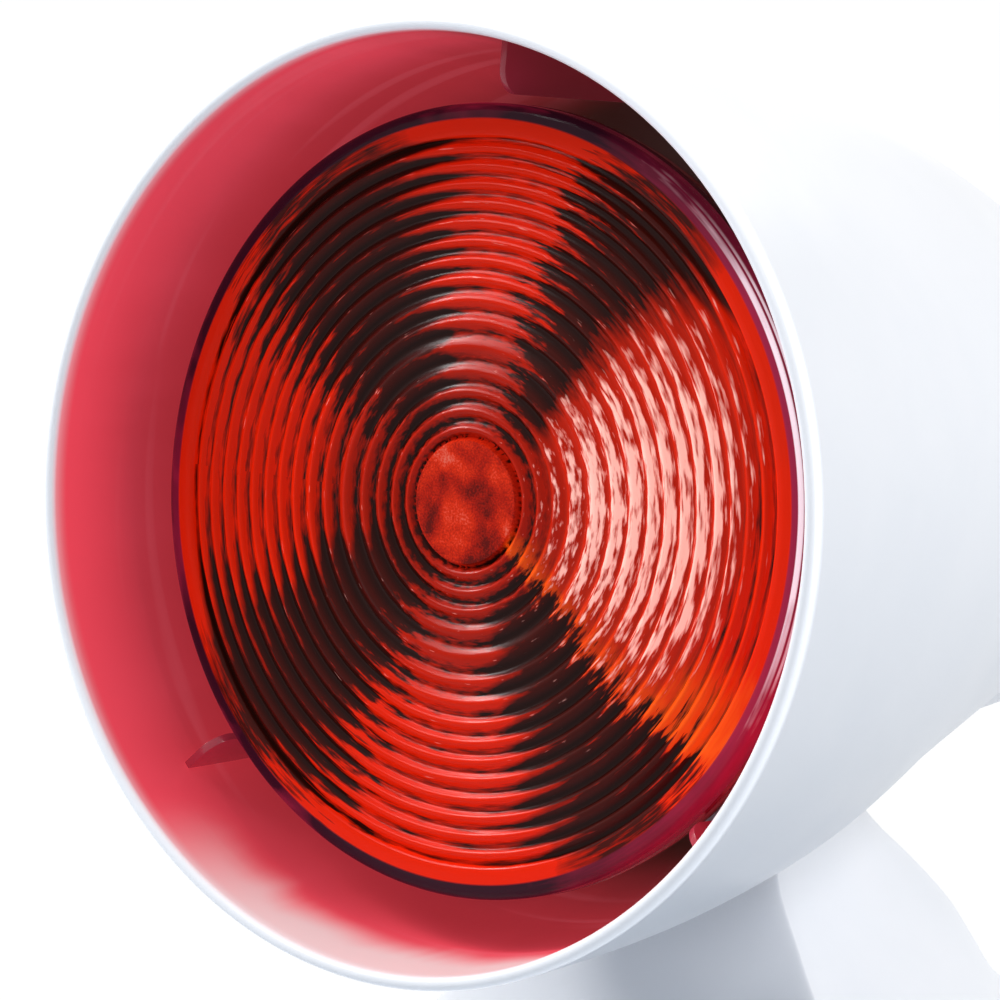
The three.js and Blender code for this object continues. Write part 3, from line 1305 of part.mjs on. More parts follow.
function rocker() {
  const halfLength = SWITCH_BODY_LENGTH / 2 - SWITCH_WALL - RUN_GAP * 2;
  const halfWidth = SWITCH_BODY_WIDTH / 2 - SWITCH_WALL - RUN_GAP;
  const deck = SWITCH_FRAME_THICKNESS + ROCKER_RISE;
  const shape = new THREE.Shape();
  shape.moveTo(-halfLength, deck);
  shape.lineTo(-halfLength, 0);
  shape.lineTo(-ROCKER_PIN_RADIUS * 2, -ROCKER_SKIRT);
  shape.lineTo(ROCKER_PIN_RADIUS * 2, -ROCKER_SKIRT);
  shape.lineTo(halfLength, 0);
  shape.lineTo(halfLength, deck);
  shape.quadraticCurveTo(0, deck - ROCKER_RISE, -halfLength, deck);
  const body = extrudedAlongX(shape, -halfWidth, halfWidth, ROUND_STEPS);
  const reach = halfWidth + RUN_GAP + ROCKER_PIN_LENGTH / 2;
  const pin = rodX(ROCKER_PIN_RADIUS, -reach, reach, SCREW_SIDES);
  return carve(body, [pin], []).rotateX(radians(-ROCKER_THROW_DEG / 2));
}

function buildSwitch(stand) {
  addPiece(stand, "switch_housing", switchFrame(switchHousing()), BLACK_PLASTIC);
  addPiece(stand, "switch_rocker", switchFrame(rocker()), WHITE_PLASTIC);
}

// Hinge pieces that stay with the stand
function buildHinge(stand) {
  [-1, 1].forEach((side, i) => {
    const name = ["left", "right"][i];
    const inner = CHEEK_OUTER + SEAT_GAP;
    const washer = turned(
      [
        point(PIVOT_SCREW_RADIUS + SEAT_GAP, inner),
        point(WASHER_RADIUS, inner),
        point(WASHER_RADIUS, inner + WASHER_THICKNESS),
        point(PIVOT_SCREW_RADIUS + SEAT_GAP, inner + WASHER_THICKNESS),
      ],
      SMALL_SIDES,
    );
    const outwards = (side * -Math.PI) / 2;
    washer.rotateZ(outwards).translate(0, 0, PIVOT_HEIGHT);
    addPiece(stand, `friction_washer_${name}`, washer, BLACK_PLASTIC);
    const screw = screwY(
      0,
      0,
      ARM_OUTER + SEAT_GAP,
      CHEEK_INNER,
      PIVOT_SCREW_RADIUS,
      PIVOT_SCREW_HEAD_RADIUS,
      PIVOT_SCREW_HEAD,
    );
    screw.rotateZ(outwards).translate(0, 0, PIVOT_HEIGHT);
    addPiece(stand, `pivot_screw_${name}`, screw, STEEL);
  });
}

// The lamp: the origin lies on the table, in the middle of the lamp's box
const lamp = new THREE.Group();
const restTilt = radians(REST_TILT_DEG);
const rimReach = PIVOT_BEHIND_RIM * Math.cos(restTilt) - PIVOT_BELOW_AXIS * Math.sin(restTilt);
const frontReach = rimReach + (RIM_RADIUS - RIM_BEVEL) * Math.sin(restTilt);

const stand = new THREE.Group();
addPiece(stand, "stand_shell", standShell(), WHITE_PLASTIC);
buildBase(stand);
buildWiring(stand);
buildSwitch(stand);
buildHinge(stand);

const head = new THREE.Group();
head.position.set(0, 0, PIVOT_HEIGHT);
head.rotation.x = -restTilt;
const axis = new THREE.Group();
axis.position.set(0, -PIVOT_BEHIND_RIM, PIVOT_BELOW_AXIS);
head.add(axis);
buildShade(axis);
buildBulb(axis);
buildHolder(axis);
buildYoke(axis);
addPiece(axis, "head_cable", headCable(), CABLE_GREY);
stand.add(head);

lamp.add(stand);
lamp.updateMatrixWorld(true);
const coverBack = new THREE.Box3().setFromObject(head, true).max.y;
stand.position.y = (frontReach - coverBack) / 2;

export default lamp;
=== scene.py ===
"""Infrared heat therapy lamp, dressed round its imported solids.

A bell-shaped head with a ruby pressed-glass bulb tilts on a flared pedestal. The scene
models the shells, the bulb, the switch and the fittings in full, gives every piece a
finish of its own, and sets up a plain studio with the camera of the reference view.
Sizes are in millimetres. Meshes are in metres, and so are the places where a finish fades.
"""

from __future__ import annotations

import json
import logging
import math
from collections.abc import Callable, Iterator, Sequence
from contextlib import contextmanager
from dataclasses import dataclass, field
from enum import Enum

import bmesh
import bpy
from mathutils import Matrix, Vector


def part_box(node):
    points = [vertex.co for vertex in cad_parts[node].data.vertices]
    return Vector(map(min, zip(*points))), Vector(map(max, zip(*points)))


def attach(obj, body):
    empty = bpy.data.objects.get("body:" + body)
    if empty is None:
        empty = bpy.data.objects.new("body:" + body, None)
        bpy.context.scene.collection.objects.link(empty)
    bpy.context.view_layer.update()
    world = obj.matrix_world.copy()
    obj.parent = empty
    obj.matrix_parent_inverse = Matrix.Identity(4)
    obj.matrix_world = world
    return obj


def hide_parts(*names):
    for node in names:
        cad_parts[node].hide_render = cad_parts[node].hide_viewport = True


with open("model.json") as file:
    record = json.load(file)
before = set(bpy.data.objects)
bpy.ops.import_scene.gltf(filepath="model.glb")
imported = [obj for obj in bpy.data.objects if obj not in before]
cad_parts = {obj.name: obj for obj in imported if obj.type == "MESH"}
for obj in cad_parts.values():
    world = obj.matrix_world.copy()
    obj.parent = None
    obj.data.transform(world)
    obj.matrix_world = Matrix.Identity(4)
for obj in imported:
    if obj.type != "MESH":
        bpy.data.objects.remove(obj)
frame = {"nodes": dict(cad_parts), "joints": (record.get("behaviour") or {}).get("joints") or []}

MM = 0.001
SWITCH_LEAN = -38.71029
CORNERS = ("front_left", "front_right", "rear_left", "rear_right")
LOG = logging.getLogger("heat_lamp")

Colour = tuple[float, float, float]
Row = tuple[float, ...]
Piece = bpy.types.Object
Socket = bpy.types.NodeSocket


class Element(Enum):
    """What a selection in edit mode is made of."""

    POINT = "VERT"
    EDGE = "EDGE"
    FACE = "FACE"


class Body(Enum):
    """The bodies of the lamp that new pieces ride on."""

    STAND = "stand"
    HEAD = "head"
    BULB = "bulb"
    ROCKER = "rocker"


# Curves and places


def curve_point(four: Sequence[Vector], part: float) -> Vector:
    """Finds a point of a centripetal curve between the second and third of four points.

    Args:
        four: The four points that shape this span.
        part: How far along the span, from 0 to 1.

    Returns:
        The point on the curve.
    """
    a, b, c, d = four
    first = max((b - a).length ** 0.5, 1e-4)
    middle = max((c - b).length ** 0.5, 1e-4)
    last = max((d - c).length ** 0.5, 1e-4)
    leave = ((b - a) / first - (c - a) / (first + middle) + (c - b) / middle) * middle
    reach = ((c - b) / middle - (d - b) / (middle + last) + (d - c) / last) * middle
    square = (c - b) * 3 - leave * 2 - reach
    cube = (b - c) * 2 + leave + reach
    return b + leave * part + square * part**2 + cube * part**3


def smooth_rows(rows: Sequence[Row], steps: int) -> list[Row]:
    """Runs a smooth curve through the rows of a table.

    Args:
        rows: The rows that the curve passes through.
        steps: How many spans the result has.

    Returns:
        The rows of the smooth curve, one more than the steps.
    """
    points = [Vector(row) for row in rows]
    ends = [points[0] * 2 - points[1], *points, points[-1] * 2 - points[-2]]
    smooth = []
    for step in range(steps + 1):
        share = step / steps * (len(points) - 1)
        index = min(int(share), len(points) - 2)
        smooth.append(tuple(curve_point(ends[index : index + 4], share - index)))
    return smooth


def value_at(rows: Sequence[Row], place: float, column: int) -> float:
    """Reads one column of a table at a place along its first column.

    Args:
        rows: The table, sorted by its first column.
        place: Where to read.
        column: Which column to read.

    Returns:
        The value, in a straight line between two rows.
    """
    for before, after in zip(rows, rows[1:]):
        if place <= after[0]:
            part = (place - before[0]) / max(after[0] - before[0], 1e-9)
            return before[column] + max(part, 0.0) * (after[column] - before[column])
    return rows[-1][column]


def inward_rows(rows: Sequence[Row], wall: float) -> list[Row]:
    """Offsets rows of depth and radius inwards, square to their slope.

    Args:
        rows: Rows that start with depth and radius.
        wall: How far to offset.

    Returns:
        The offset rows, with any further columns kept.
    """
    moved = []
    for index, row in enumerate(rows):
        before = rows[max(index - 1, 0)]
        after = rows[min(index + 1, len(rows) - 1)]
        run = Vector((after[0] - before[0], after[1] - before[1])).normalized()
        moved.append((row[0] + wall * run.y, row[1] - wall * run.x, *row[2:]))
    return moved


@dataclass(frozen=True)
class HeadAxes:
    """The head's own axes: x across, y back along the bulb and z up, from the rim's middle."""

    rim: Vector
    back: Vector

    @classmethod
    def from_joints(cls, joints: Sequence[dict]) -> HeadAxes:
        """Reads the axes from the joint that the bulb turns on."""
        turn = next(joint for joint in joints if joint["name"] == "bulb_turn")
        return cls(Vector(turn["pos_m"]), -Vector(turn["axis"]).normalized())

    def matrix(self) -> Matrix:
        """Gives the matrix that takes the head's axes to the lamp's.

        Returns:
            The matrix, in metres.
        """
        across = Vector((1.0, 0.0, 0.0))
        turned = Matrix((across, self.back, across.cross(self.back))).transposed().to_4x4()
        return Matrix.Translation(self.rim) @ turned


# Work with mesh operators


def deselect_all() -> None:
    """Leaves edit mode and deselects everything."""
    active = bpy.context.view_layer.objects.active
    if active is not None and active.mode != "OBJECT":
        bpy.ops.object.mode_set(mode="OBJECT")
    bpy.ops.object.select_all(action="DESELECT")


def pick(*pieces: Piece) -> None:
    """Selects only these pieces and makes the first one active.

    Args:
        pieces: What to select.
    """
    deselect_all()
    for piece in pieces:
        piece.select_set(True)
    bpy.context.view_layer.objects.active = pieces[0]


@contextmanager
def editing(piece: Piece) -> Iterator[None]:
    """Keeps a piece in edit mode for the length of a with block.

    Args:
        piece: The piece to edit.

    Yields:
        Nothing; the block's work goes on meanwhile.
    """
    pick(piece)
    bpy.ops.object.mode_set(mode="EDIT")
    yield
    bpy.ops.object.mode_set(mode="OBJECT")


def select_where(piece: Piece, element: Element, test: Callable[..., bool]) -> None:
    """Selects the elements of a piece in edit mode that pass a test.

    Args:
        piece: The piece, already in edit mode.
        element: What is selected.
        test: Says for a point, an edge or a face whether it is selected.
    """
    bpy.ops.mesh.select_mode(type=element.value)
    bpy.ops.mesh.select_all(action="DESELECT")
    mesh = bmesh.from_edit_mesh(piece.data)
    items = {Element.POINT: mesh.verts, Element.EDGE: mesh.edges, Element.FACE: mesh.faces}
    for item in items[element]:
        item.select_set(bool(test(item)))
    mesh.select_flush_mode()
    bmesh.update_edit_mesh(piece.data)


def name_piece(name: str) -> Piece:
    """Names the primitive that was just added and fixes its place in its mesh.

    Args:
        name: The piece's name.

    Returns:
        The primitive.
    """
    piece = bpy.context.object
    piece.name = piece.data.name = name
    bpy.ops.object.transform_apply(location=True, rotation=True, scale=True)
    return piece


def close_up(piece: Piece) -> None:
    """Merges doubles, fills open ends and turns every face outwards.

    Args:
        piece: The piece to close.
    """
    with editing(piece):
        bpy.ops.mesh.select_mode(type="VERT")
        bpy.ops.mesh.select_all(action="SELECT")
        bpy.ops.mesh.remove_doubles(threshold=1e-6)
        bpy.ops.mesh.select_all(action="SELECT")
        bpy.ops.mesh.fill_holes(sides=0)
        bpy.ops.mesh.select_all(action="SELECT")
        bpy.ops.mesh.normals_make_consistent(inside=False)


def pull_rings(name: str, rings: Sequence[Row], sides: int) -> Piece:
    """Pulls a round body out of one circle, ring by ring, along the Y axis.

    Args:
        name: The piece's name.
        rings: Rows of depth, radius and, where it isn't zero, rise of the ring's middle.
        sides: How many sides each ring has.

    Returns:
        The closed body.
    """
    full = [(row[0], row[1], row[2] if len(row) > 2 else 0.0) for row in rings]
    depth, radius, rise = full[0]
    deselect_all()
    bpy.ops.mesh.primitive_circle_add(
        vertices=sides,
        radius=radius * MM,
        fill_type="NOTHING",
        location=(0.0, depth * MM, rise * MM),
        rotation=(math.pi / 2, 0.0, 0.0),
    )
    piece = name_piece(name)
    with editing(piece):
        bpy.ops.mesh.select_all(action="SELECT")
        for before, after in zip(full, full[1:]):
            step = (0.0, (after[0] - before[0]) * MM, (after[2] - before[2]) * MM)
            bpy.ops.mesh.extrude_region_move(TRANSFORM_OT_translate={"value": step})
            share = after[1] / before[1]
            middle = (0.0, after[0] * MM, after[2] * MM)
            bpy.ops.transform.resize(value=(share, 1.0, share), center_override=middle)
    close_up(piece)
    return piece


def pull_outlines(name: str, outlines: Sequence[Sequence[Vector]]) -> Piece:
    """Pulls a body out of one outline, which takes a new shape at each step.

    Args:
        name: The piece's name.
        outlines: Rings of points in millimetres, all with the same count.

    Returns:
        The closed body.
    """
    deselect_all()
    bpy.ops.mesh.primitive_circle_add(vertices=len(outlines[0]), radius=MM, fill_type="NOTHING")
    piece = name_piece(name)
    with editing(piece):
        bpy.ops.mesh.select_all(action="SELECT")
        for index, outline in enumerate(outlines):
            if index:
                bpy.ops.mesh.extrude_region_move()
            mesh = bmesh.from_edit_mesh(piece.data)
            chosen = [point for point in mesh.verts if point.select]
            for point, place in zip(chosen, outline):
                point.co = place * MM
            bmesh.update_edit_mesh(piece.data)
    close_up(piece)
    return piece


def block(name: str, low: Sequence[float], high: Sequence[float]) -> Piece:
    """Adds a block between two corners.

    Args:
        name: The piece's name.
        low: The corner with the lowest values.
        high: The corner with the highest.

    Returns:
        The block.
    """
    deselect_all()
    middle = (Vector(low) + Vector(high)) / 2 * MM
    size = (Vector(high) - Vector(low)) * MM
    bpy.ops.mesh.primitive_cube_add(size=1.0, location=middle, scale=size)
    return name_piece(name)


def rod(name: str, radius: float, start: Vector, end: Vector, sides: int = 48) -> Piece:
    """Adds a round bar between two points.

    Args:
        name: The piece's name.
        radius: Half the bar's thickness.
        start: The middle of one end.
        end: The middle of the other.
        sides: How many sides it has.

    Returns:
        The bar.
    """
    deselect_all()
    way = end - start
    bpy.ops.mesh.primitive_cylinder_add(
        vertices=sides,
        radius=radius * MM,
        depth=way.length * MM,
        location=(start + end) / 2 * MM,
        rotation=way.to_track_quat("Z", "Y").to_euler(),
    )
    return name_piece(name)


def finish_with(piece: Piece, kind: str, **settings: object) -> None:
    """Adds one modifier to a piece and applies it.

    Args:
        piece: The piece that changes.
        kind: The modifier's type.
        settings: The modifier's own settings.
    """
    modifier = piece.modifiers.new(kind.title(), kind)
    for name, value in settings.items():
        setattr(modifier, name, value)
    pick(piece)
    bpy.ops.object.modifier_apply(modifier=modifier.name)


def round_edges(piece: Piece, width: float, segments: int = 3, angle: float = 40.0) -> None:
    """Rounds every edge of a piece that is sharper than an angle.

    Args:
        piece: The piece that changes.
        width: How far the rounding reaches.
        segments: How many faces it has.
        angle: The angle in degrees.
    """
    finish_with(
        piece,
        "BEVEL",
        width=width * MM,
        segments=segments,
        limit_method="ANGLE",
        angle_limit=math.radians(angle),
    )


def combine(piece: Piece, operation: str, tools: Sequence[Piece]) -> None:
    """Joins tools with a piece, cuts them out of it or keeps what they share.

    Args:
        piece: The piece that changes.
        operation: UNION, DIFFERENCE or INTERSECT.
        tools: The other solids, which are used up.
    """
    for tool in tools:
        finish_with(piece, "BOOLEAN", operation=operation, object=tool, solver="EXACT")
        bpy.data.objects.remove(tool)


def join(pieces: Sequence[Piece]) -> Piece:
    """Makes one object of several that don't touch.

    Args:
        pieces: The pieces; the first one's name stays.

    Returns:
        The joined piece.
    """
    pick(*pieces)
    bpy.ops.object.join()
    return bpy.context.object


def settle(piece: Piece, matrix: Matrix) -> None:
    """Moves a piece by a matrix and fixes the place in its mesh.

    Args:
        piece: The piece to move.
        matrix: The move, in metres.
    """
    piece.matrix_world = matrix @ piece.matrix_world
    pick(piece)
    bpy.ops.object.transform_apply(location=True, rotation=True, scale=True)


def smooth(piece: Piece, degrees: float = 32.0) -> None:
    """Shades a piece smooth, with sharp edges past an angle."""
    pick(piece)
    bpy.ops.object.shade_smooth_by_angle(angle=math.radians(degrees))


def write_attribute(piece: Piece, name: str, value: Callable[[Vector], float]) -> None:
    """Stores a number at every point of a piece, for its finish to read."""
    layer = piece.data.attributes.new(name, "FLOAT", "POINT")
    layer.data.foreach_set("value", [value(point.co) for point in piece.data.vertices])


def mount(piece: Piece, body: Body, finish: Finish, nodes: Sequence[str] = ()) -> Piece:
    """Dresses a finished piece and fixes it to the body that it moves with.

    Args:
        piece: The finished piece.
        body: The body that carries it.
        finish: What it is made of.
        nodes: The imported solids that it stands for.

    Returns:
        The piece.
    """
    piece.data.materials.clear()
    piece.data.materials.append(finish.material())
    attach(piece, body.value)
    if nodes:
        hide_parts(*nodes)
    LOG.info("%s: %d faces on %s", piece.name, len(piece.data.polygons), body.value)
    return piece


# Finishes


def tint(red: int, green: int, blue: int) -> Colour:
    """Turns a colour from 0-255 levels into linear light."""
    shares = (level / 255 for level in (red, green, blue))
    return tuple(s / 12.92 if s <= 0.04045 else ((s + 0.055) / 1.055) ** 2.4 for s in shares)


class NodeBoard:
    """A material under construction, with short calls for the nodes it needs."""

    def __init__(self, material: bpy.types.Material) -> None:
        """Takes up a material whose nodes hold one shader.

        Args:
            material: The material to build.
        """
        self.material = material
        self.tree = material.node_tree
        self.shader = self.tree.nodes["Principled BSDF"]

    @classmethod
    def start(cls, name: str) -> NodeBoard:
        """Starts a new material, which has one shader and its output.

        Args:
            name: The material's name.

        Returns:
            The board for it.
        """
        material = bpy.data.materials.new(name)
        material.use_nodes = True
        return cls(material)

    def feed(self, target: Socket, value: Socket | float | Sequence[float]) -> None:
        """Links a socket to another, or sets its own value.

        Args:
            target: The socket to set.
            value: Where its value comes from.
        """
        if isinstance(value, bpy.types.NodeSocket):
            self.tree.links.new(value, target)
        elif target.type == "RGBA":
            target.default_value = (*value[:3], 1.0)
        else:
            target.default_value = value

    def surface(self, **values: Socket | float | Colour) -> None:
        """Sets inputs of the shader, named with underscores for spaces."""
        for name, value in values.items():
            self.feed(self.shader.inputs[name.replace("_", " ").title().replace("Ior", "IOR")], value)

    def place(self, axes: HeadAxes | None = None, scale: Colour = (1.0, 1.0, 1.0)) -> Socket:
        """Gives the object's coordinates, seen from the head's axes if they are given.

        Args:
            axes: The head's axes, for a pattern that follows the head.
            scale: How much the coordinates are stretched along each axis.

        Returns:
            The socket with the coordinates.
        """
        coordinates = self.tree.nodes.new("ShaderNodeTexCoord").outputs["Object"]
        if axes is not None:
            seat = self.tree.nodes.new("ShaderNodeMapping")
            seat.vector_type = "TEXTURE"
            seat.inputs["Location"].default_value = axes.rim
            seat.inputs["Rotation"].default_value = axes.matrix().to_euler()
            self.tree.links.new(coordinates, seat.inputs["Vector"])
            coordinates = seat.outputs["Vector"]
        if scale == (1.0, 1.0, 1.0):
            return coordinates
        stretch = self.tree.nodes.new("ShaderNodeMapping")
        stretch.inputs["Scale"].default_value = scale
        self.tree.links.new(coordinates, stretch.inputs["Vector"])
        return stretch.outputs["Vector"]

    def noise(self, vector: Socket, size: float, detail: float = 3.0, warp: float = 0.0) -> Socket:
        """Gives a cloudy pattern whose blots are about a size across.

        Args:
            vector: The coordinates.
            size: How wide a blot is.
            detail: How many finer layers it has.
            warp: How much the blots are twisted.

        Returns:
            The pattern, from 0 to 1.
        """
        node = self.tree.nodes.new("ShaderNodeTexNoise")
        node.inputs["Scale"].default_value = 1 / (size * MM)
        node.inputs["Detail"].default_value = detail
        node.inputs["Distortion"].default_value = warp
        self.tree.links.new(vector, node.inputs["Vector"])
        return node.outputs["Fac"]

    def cells(self, vector: Socket, size: float) -> Socket:
        """Gives the distance to the middle of cells about a size across.

        Args:
            vector: The coordinates.
            size: How wide a cell is.

        Returns:
            The distance.
        """
        node = self.tree.nodes.new("ShaderNodeTexVoronoi")
        node.inputs["Scale"].default_value = 1 / (size * MM)
        self.tree.links.new(vector, node.inputs["Vector"])
        return node.outputs["Distance"]

    def sums(self, operation: str, a: Socket | float, b: Socket | float = 0.0) -> Socket:
        """Works out one step of arithmetic.

        Args:
            operation: The step, such as ADD.
            a: The first value.
            b: The second.

        Returns:
            The result.
        """
        node = self.tree.nodes.new("ShaderNodeMath")
        node.operation = operation
        self.feed(node.inputs[0], a)
        self.feed(node.inputs[1], b)
        return node.outputs["Value"]

    def ramp(self, value: Socket, stops: Sequence[tuple[float, float | Colour]]) -> Socket:
        """Turns a value into a grey level or a colour, by stops along it.

        Args:
            value: The value, which the stops cover from 0 to 1.
            stops: Rows of place and level.

        Returns:
            The level or colour.
        """
        node = self.tree.nodes.new("ShaderNodeValToRGB")
        elements = node.color_ramp.elements
        for index, (position, level) in enumerate(stops):
            element = elements[index] if index < 2 else elements.new(position)
            element.position = position
            colour = level if isinstance(level, tuple) else (level, level, level)
            element.color = (*colour, 1.0)
        self.tree.links.new(value, node.inputs["Fac"])
        return node.outputs["Color"]

    def rise(self, value: Socket, low: float, high: float, top: float = 1.0) -> Socket:
        """Rises softly from 0 at a low value to a top level at a high one.

        Args:
            value: The value.
            low: Where the rise starts.
            high: Where it ends.
            top: The level it reaches.

        Returns:
            The level.
        """
        node = self.tree.nodes.new("ShaderNodeMapRange")
        node.interpolation_type = "SMOOTHSTEP"
        node.inputs["From Min"].default_value = low
        node.inputs["From Max"].default_value = high
        node.inputs["To Max"].default_value = top
        self.tree.links.new(value, node.inputs["Value"])
        return node.outputs["Result"]

    def mix(self, share: Socket | float, a: Socket | Colour, b: Socket | Colour) -> Socket:
        """Mixes two colours by a share.

        Args:
            share: How much of the second colour there is.
            a: The first colour.
            b: The second.

        Returns:
            The mixed colour.
        """
        node = self.tree.nodes.new("ShaderNodeMix")
        node.data_type = "RGBA"
        self.feed(node.inputs[0], share)
        self.feed(node.inputs[6], a)
        self.feed(node.inputs[7], b)
        return node.outputs[2]

    def split(self, vector: Socket) -> tuple[Socket, Socket, Socket]:
        """Splits a vector into its three parts.

        Args:
            vector: The vector.

        Returns:
            Its x, y and z.
        """
        node = self.tree.nodes.new("ShaderNodeSeparateXYZ")
        self.tree.links.new(vector, node.inputs[0])
        return tuple(node.outputs)

    def gather(self, x: Socket | float, y: Socket | float, z: Socket | float) -> Socket:
        """Joins three values into a vector.

        Args:
            x: The first part.
            y: The second.
            z: The third.

        Returns:
            The vector.
        """
        node = self.tree.nodes.new("ShaderNodeCombineXYZ")
        for target, value in zip(node.inputs, (x, y, z)):
            self.feed(target, value)
        return node.outputs[0]

    def attribute(self, name: str) -> Socket:
        """Reads a number that the piece's mesh carries.

        Args:
            name: The number's name in the mesh.

        Returns:
            The number.
        """
        node = self.tree.nodes.new("ShaderNodeAttribute")
        node.attribute_name = name
        return node.outputs["Fac"]

    def bump(self, height: Socket, depth: float) -> None:
        """Raises the surface by a height pattern, to a depth.

        Args:
            height: The pattern.
            depth: How high a value of 1 stands.
        """
        node = self.tree.nodes.new("ShaderNodeBump")
        node.inputs["Strength"].default_value = 1.0
        node.inputs["Distance"].default_value = depth * MM
        self.tree.links.new(height, node.inputs["Height"])
        self.tree.links.new(node.outputs["Normal"], self.shader.inputs["Normal"])


@dataclass(frozen=True)
class Finish:
    """What a piece is made of: a name and a procedural material, made once."""

    name: str

    def material(self) -> bpy.types.Material:
        """Gives the material, which is built on first use."""
        return bpy.data.materials.get(self.name) or self.build()

    def build(self) -> bpy.types.Material:
        """Builds the material's nodes."""
        raise NotImplementedError


@dataclass(frozen=True)
class MouldedPlastic(Finish):
    """Moulded plastic or rubber: faint flow clouds, fine grain and hairline scuffs."""

    colour: Colour = (0.8, 0.8, 0.8)
    flow: Colour = (0.75, 0.75, 0.75)
    roughness: float = 0.35
    grain: float = 0.5
    grain_depth: float = 0.012
    gloss: float = 0.5

    def build(self) -> bpy.types.Material:
        """Builds the material's nodes.

        Returns:
            The material.
        """
        board = NodeBoard.start(self.name)
        place = board.place()
        board.surface(
            base_color=self.body_colour(board, place),
            roughness=self.worn_roughness(board, place),
            specular_ior_level=self.gloss,
        )
        board.bump(board.noise(place, self.grain, 4.0), self.grain_depth)
        return board.material

    def body_colour(self, board: NodeBoard, place: Socket) -> Socket:
        """Mixes the plastic's two shades in wide clouds."""
        clouds = board.noise(place, 38.0, 4.0, 0.6)
        return board.mix(board.ramp(clouds, ((0.32, 0.0), (0.7, 1.0))), self.colour, self.flow)

    def worn_roughness(self, board: NodeBoard, place: Socket) -> Socket:
        """Varies the roughness with handling and with fine scuffs.

        Args:
            board: The material under construction.
            place: The coordinates.

        Returns:
            The roughness.
        """
        hands = board.noise(place, 22.0, 5.0, 0.3)
        scuffs = board.noise(board.place(scale=(1.0, 0.2, 0.4)), 0.6, 4.0)
        base = board.sums("MULTIPLY", hands, 0.14)
        total = board.sums("ADD", base, board.sums("MULTIPLY", scuffs, 0.05))
        return board.sums("ADD", total, self.roughness - 0.07)


@dataclass(frozen=True)
class ShadePlastic(MouldedPlastic):
    """The head's white plastic, with the bulb's red light painted on its inside as colour and as glow."""

    axes: HeadAxes | None = None
    # Painted light: rose is the bulb's red light painted on the wall near the rim, and deep is the same
    # painted light, dimmer, further in.
    rose: Colour = tint(238, 78, 96)
    deep: Colour = tint(206, 60, 72)
    # Painted shade: dark brown deep in the bell and in the corner at the top right.
    shadow_brown: Colour = tint(58, 27, 23)
    # Painted light: pale pink where light falls in, low on the inside near the front.
    pale: Colour = tint(222, 196, 198)
    # Painted reflection: pale red bands round the inside wall.
    painted_highlight: Colour = tint(236, 104, 118)
    # Painted light: how strongly the inside glows with its painted red light.
    glow: float = 0.46
    # Painted light: the white glow on the lip near the rim.
    lip_light: Colour = (0.3, 0.31, 0.33)
    lip_span: tuple[float, float] = (0.0012, 0.003)
    wall_span: tuple[float, float] = (0.004, 0.034)
    corner_span: tuple[float, float] = (0.02, 0.062)
    deep_span: tuple[float, float] = (0.034, 0.078)
    low_span: tuple[float, float] = (0.051, 0.069)
    front_span: tuple[float, float] = (0.006, 0.018)

    def build(self) -> bpy.types.Material:
        """Builds the material's nodes.

        Returns:
            The material.
        """
        material = super().build()
        board = NodeBoard(material)
        _, depth, _ = board.split(board.place(self.axes))
        # Painted light: the lip glows white near the rim, and the inside glows with its painted red light.
        lip = board.mix(board.rise(depth, *self.lip_span), self.lip_light, (0.0, 0.0, 0.0))
        cast = board.mix(self.glow, (0.0, 0.0, 0.0), self.cast(board))
        board.surface(
            emission_color=board.mix(board.attribute("painted_red_light"), lip, cast), emission_strength=1.0
        )
        return material

    def body_colour(self, board: NodeBoard, place: Socket) -> Socket:
        """Mixes white outside with the bulb's red light, painted on the inside."""
        outside = super().body_colour(board, place)
        return board.mix(board.attribute("painted_red_light"), outside, self.cast(board))

    def cast(self, board: NodeBoard) -> Socket:
        """Paints the bulb's light and shade on the inside, by its depth and by its place round the rim.

        Args:
            board: The material under construction.

        Returns:
            The colour of the inside, with its painted light and shade.
        """
        x, depth, z = board.split(board.place(self.axes))
        clouds = board.noise(board.place(self.axes, (1.0, 0.25, 1.0)), 26.0, 3.0, 0.8)
        wander = board.sums("MULTIPLY", board.sums("SUBTRACT", clouds, 0.5), 0.02)
        deeper = board.sums("ADD", depth, wander)
        # Painted light: the red light dims from rose to deep further into the bell.
        wall = board.mix(board.rise(deeper, *self.wall_span), self.rose, self.deep)
        # Painted reflection: thin pale bands round the inside wall.
        bands = board.noise(board.place(self.axes, (0.05, 1.0, 0.05)), 5.5, 2.0)
        wall = board.mix(board.ramp(bands, ((0.56, 0.0), (0.64, 0.3))), wall, self.painted_highlight)
        # Painted shade: the wall darkens to brown towards the top right corner and deep in the bell.
        side = board.sums("ADD", board.sums("MULTIPLY", x, 0.8), board.sums("MULTIPLY", z, 0.6))
        corner = board.rise(board.sums("ADD", side, wander), *self.corner_span)
        shade = board.sums("MAXIMUM", corner, board.rise(deeper, *self.deep_span))
        wall = board.mix(shade, wall, self.shadow_brown)
        # Painted light: paler low down near the front, where light falls in.
        low = board.rise(board.sums("MULTIPLY", z, -1.0), *self.low_span)
        front = board.sums("SUBTRACT", 1.0, board.rise(deeper, *self.front_span))
        return board.mix(board.sums("MULTIPLY", low, front), wall, self.pale)


